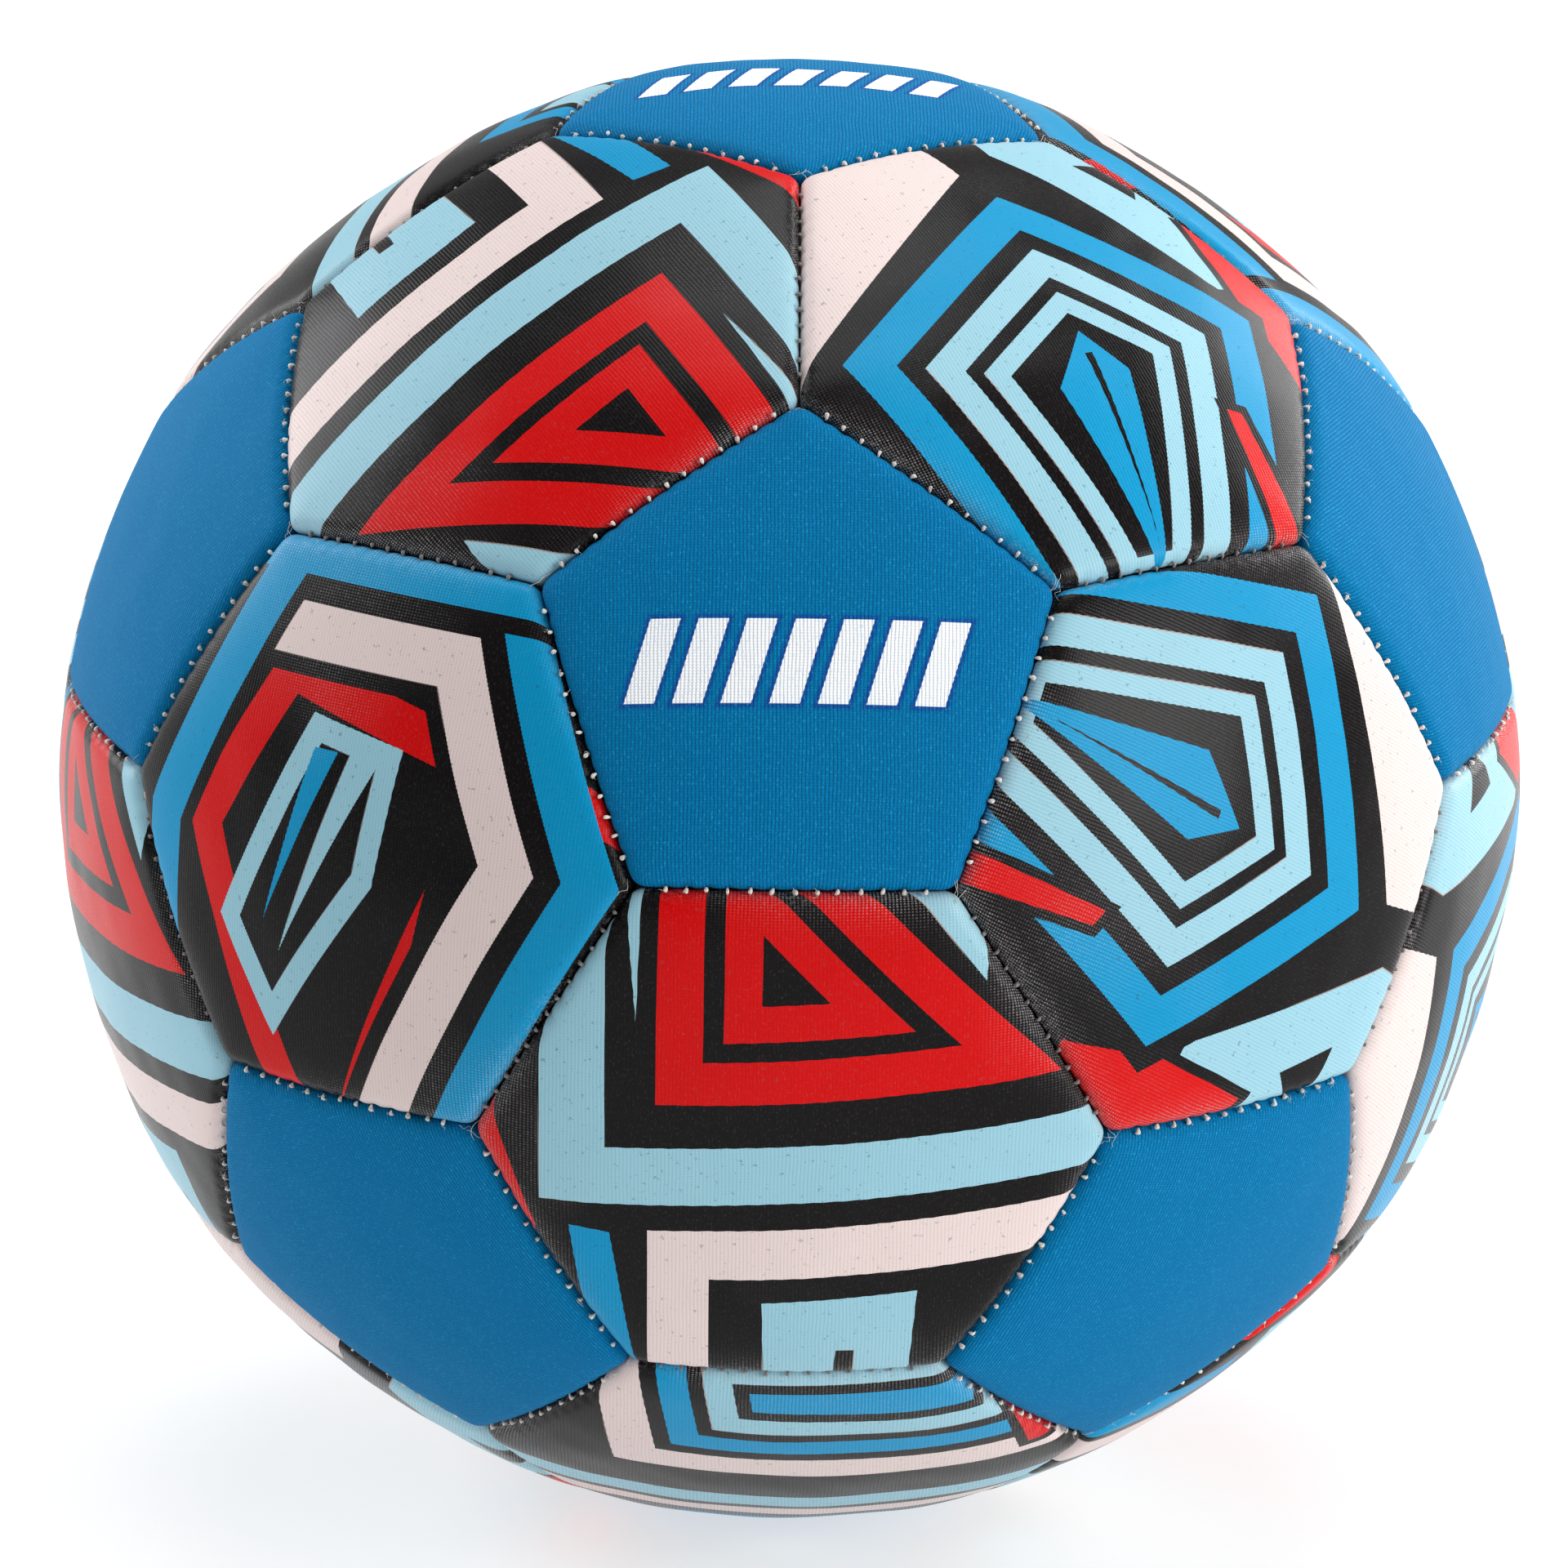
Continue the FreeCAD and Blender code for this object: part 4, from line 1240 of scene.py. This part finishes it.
class BALL_OT_pentagon_panels(bpy.types.Operator):
    """Makes the 12 plain panels, and cuts the valve's hole in one of them"""

    bl_idname = "ball.pentagon_panels"
    bl_label = "Pentagon Panels"

    def execute(self, context):
        sizes, colours, _ = settings()
        knit = cover_knit()
        plain = jersey_material("Jersey", knit, colours)
        marked = jersey_material("Marked jersey", knit, colours, mark_group())
        looks = {}
        for name, turn in PENTAGON_TURNS.items():
            looks[name] = (marked if name in MARKED_PENTAGONS else plain, turn)
        places = pentagon_places(pentagon_axes())
        pieces = lay_panels("plain", PENTAGON, sizes, places, looks, SEEDS["pentagon_panels"])
        cut_hole(pieces[VALVE_PENTAGON], places[VALVE_PENTAGON], sizes.valve_hole)
        for name, piece in pieces.items():
            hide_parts(f"pentagon_panel_{name}")
            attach(piece, "root")
        return {"FINISHED"}


class BALL_OT_hexagon_panels(bpy.types.Operator):
    """Makes the 20 printed panels"""

    bl_idname = "ball.hexagon_panels"
    bl_label = "Hexagon Panels"

    def execute(self, context):
        sizes, colours, _ = settings()
        knit = cover_knit()
        palette = {ink: getattr(colours, ink) for ink in ("white", "pale", "cyan", "red", "black")}
        materials = {
            name: print_material(f"Printed knit {name}", knit, print_group(name, shapes, palette))
            for name, shapes in PRINTS.items()
        }
        looks = {name: (materials[pattern], turn) for name, (pattern, turn) in HEXAGON_PRINTS.items()}
        places = hexagon_places(pentagon_axes())
        pieces = lay_panels("printed", HEXAGON, sizes, places, looks, SEEDS["hexagon_panels"])
        for name, piece in pieces.items():
            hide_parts(f"hexagon_panel_{name}")
            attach(piece, "root")
        return {"FINISHED"}


class BALL_OT_pentagon_stitches(bpy.types.Operator):
    """Sews the five seams of each pentagon with stitches that show"""

    bl_idname = "ball.pentagon_stitches"
    bl_label = "Pentagon Stitches"

    def execute(self, context):
        sizes, colours, _ = settings()
        thread = thread_material("Sewing thread", tuple(colours.thread))
        seams = pentagon_seams(pentagon_axes())
        diameter = sizes.thread_diameter
        seed = SEEDS["pentagon_stitches"]
        pieces = sew("plain", PENTAGON, sizes, seams, sizes.stitch_sink, diameter, thread, seed)
        for name, piece in pieces.items():
            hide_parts(f"pentagon_stitches_{name}")
            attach(piece, "root")
        return {"FINISHED"}


class BALL_OT_hexagon_stitches(bpy.types.Operator):
    """Sews the seams between two hexagons with stitches that hardly show"""

    bl_idname = "ball.hexagon_stitches"
    bl_label = "Hexagon Stitches"

    def execute(self, context):
        sizes, colours, _ = settings()
        thread = thread_material("Buried thread", tuple(colours.buried_thread))
        seams = hexagon_seams(pentagon_axes())
        diameter = sizes.thread_diameter * BURIED_THREAD_SHARE
        seed = SEEDS["hexagon_stitches"]
        pieces = sew("printed", HEXAGON, sizes, seams, sizes.buried_sink, diameter, thread, seed)
        for name, piece in pieces.items():
            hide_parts(f"hexagon_stitches_{name}")
            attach(piece, "root")
        return {"FINISHED"}


class BALL_OT_loose_fibres(bpy.types.Operator):
    """Adds the loose fibres where three panels meet, and the fuzz of the thread along the seams"""

    bl_idname = "ball.loose_fibres"
    bl_label = "Loose Fibres"

    def execute(self, context):
        sizes, colours, _ = settings()
        thread = thread_material("Loose fibre", tuple(colours.thread))
        axes = pentagon_axes()
        long_blank = thread_blank("Long fibre", FIBRE_LENGTH, sizes.fibre_diameter, sides=4, segments=8)
        short_blank = thread_blank("Short fibre", FUZZ_LENGTH, sizes.fibre_diameter, sides=3, segments=4)
        seams = [seam for sides in pentagon_seams(axes).values() for seam in sides]
        strands = {
            "corner_fibres": (long_blank, fibre_shapes(long_blank, axes, sizes, SEEDS["corner_fibres"])),
            "seam_fuzz": (short_blank, fuzz_shapes(short_blank, seams, sizes, SEEDS["seam_fuzz"])),
        }
        for name, (blank, shapes) in strands.items():
            piece = new_piece(name, repeated(name, blank, shapes), thread)
            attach(piece, "root")
            discard(blank)
        return {"FINISHED"}


class BALL_OT_inner_parts(bpy.types.Operator):
    """Gives the linings, the bladder, the patch and the valve their materials"""

    bl_idname = "ball.inner_parts"
    bl_label = "Inner Parts"

    def execute(self, context):
        _, colours, _ = settings()
        finishes = {
            "bladder": rubber_material("Bladder rubber", tuple(colours.bladder), 0.5, 900.0),
            "valve_patch": rubber_material("Patch rubber", tuple(colours.bladder), 0.7, 1800.0),
            "valve_housing": rubber_material("Valve rubber", tuple(colours.valve), 0.55, 2400.0),
            "valve_core": rubber_material("Core rubber", tuple(colours.core), 0.6, 2400.0),
        }
        lining = woven_material("Lining weave", tuple(colours.lining), 0.7 * MM)
        finishes["pentagon_linings"] = lining
        finishes["hexagon_linings"] = lining
        for name, material in finishes.items():
            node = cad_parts[name]
            if not node.material_slots:
                raise RuntimeError(f"{name} has no material slot")
            for slot in node.material_slots:
                slot.material = material
        return {"FINISHED"}


class BALL_OT_stage(bpy.types.Operator):
    """Sets up the floor, the lights, the surroundings and the camera"""

    bl_idname = "ball.stage"
    bl_label = "Stage"

    def add_light(self, name, place, size, power, tint):
        light = bpy.data.lights.new(name, "AREA")
        light.shape = "DISK"
        light.size = size
        light.energy = power
        light.color = tint
        lamp = bpy.data.objects.new(name, light)
        bpy.context.scene.collection.objects.link(lamp)
        lamp.location = place
        lamp.rotation_euler = (-Vector(place)).to_track_quat("-Z", "Y").to_euler()

    def execute(self, context):
        _, colours, stage = settings()
        deselect_all()
        bpy.ops.mesh.primitive_plane_add(size=FLOOR_SIZE, location=(0, 0, FLOOR_HEIGHT))
        floor = context.object
        floor.name = "floor"
        bpy.ops.object.transform_apply(location=True, rotation=True, scale=True)
        floor.data.materials.append(floor_material(tuple(colours.floor)))

        for name, (place, diameter, tint) in LIGHTS.items():
            self.add_light(name, place, diameter, getattr(stage, name), tint)

        world = bpy.data.worlds.new("White room")
        world.use_nodes = True
        background = world.node_tree.nodes["Background"]
        background.inputs[0].default_value = (1, 1, 1, 1)
        background.inputs[1].default_value = stage.surroundings
        context.scene.world = world
        context.scene.view_settings.view_transform = "Standard"

        lens = bpy.data.cameras.new("camera")
        lens.sensor_width = 36
        lens.lens = stage.lens
        lens.shift_x = stage.shift_x
        lens.shift_y = stage.shift_y
        lens.clip_end = 50
        camera = bpy.data.objects.new("camera", lens)
        context.scene.collection.objects.link(camera)
        towards = unit(math.degrees(stage.azimuth), math.degrees(stage.elevation))
        right = Vector((0, 0, 1)).cross(towards).normalized()
        frame_turn = Matrix((right, towards.cross(right), towards)).transposed().to_4x4()
        roll = Matrix.Rotation(stage.roll, 4, "Z")
        camera.matrix_world = Matrix.Translation(towards * stage.distance) @ frame_turn @ roll
        context.scene.camera = camera
        return {"FINISHED"}


class BALL_PT_panel(bpy.types.Panel):
    """Lists the steps and the sizes of the ball"""

    bl_idname = "BALL_PT_panel"
    bl_label = "Stitched Ball"
    bl_space_type = "VIEW_3D"
    bl_region_type = "UI"
    bl_category = "Stitched Ball"

    def draw(self, context):
        layout = self.layout
        for operator in OPERATORS:
            layout.operator(operator.bl_idname)
        for group in settings():
            box = layout.box()
            for name in group.__annotations__:
                box.prop(group, name)


OPERATORS = (
    BALL_OT_pentagon_panels,
    BALL_OT_hexagon_panels,
    BALL_OT_pentagon_stitches,
    BALL_OT_hexagon_stitches,
    BALL_OT_loose_fibres,
    BALL_OT_inner_parts,
    BALL_OT_stage,
)
CLASSES = (BallSizes, BallColours, BallStage) + OPERATORS + (BALL_PT_panel,)


def register():
    for item in CLASSES:
        bpy.utils.register_class(item)
    bpy.types.Scene.ball_sizes = bpy.props.PointerProperty(type=BallSizes)
    bpy.types.Scene.ball_colours = bpy.props.PointerProperty(type=BallColours)
    bpy.types.Scene.ball_stage = bpy.props.PointerProperty(type=BallStage)


def unregister():
    del bpy.types.Scene.ball_stage
    del bpy.types.Scene.ball_colours
    del bpy.types.Scene.ball_sizes
    for item in reversed(CLASSES):
        bpy.utils.unregister_class(item)


def main():
    register()
    bpy.ops.ball.pentagon_panels()
    bpy.ops.ball.hexagon_panels()
    bpy.ops.ball.pentagon_stitches()
    bpy.ops.ball.hexagon_stitches()
    bpy.ops.ball.loose_fibres()
    bpy.ops.ball.inner_parts()
    bpy.ops.ball.stage()
    bpy.context.view_layer.update()


if __name__ == "__main__":
    main()
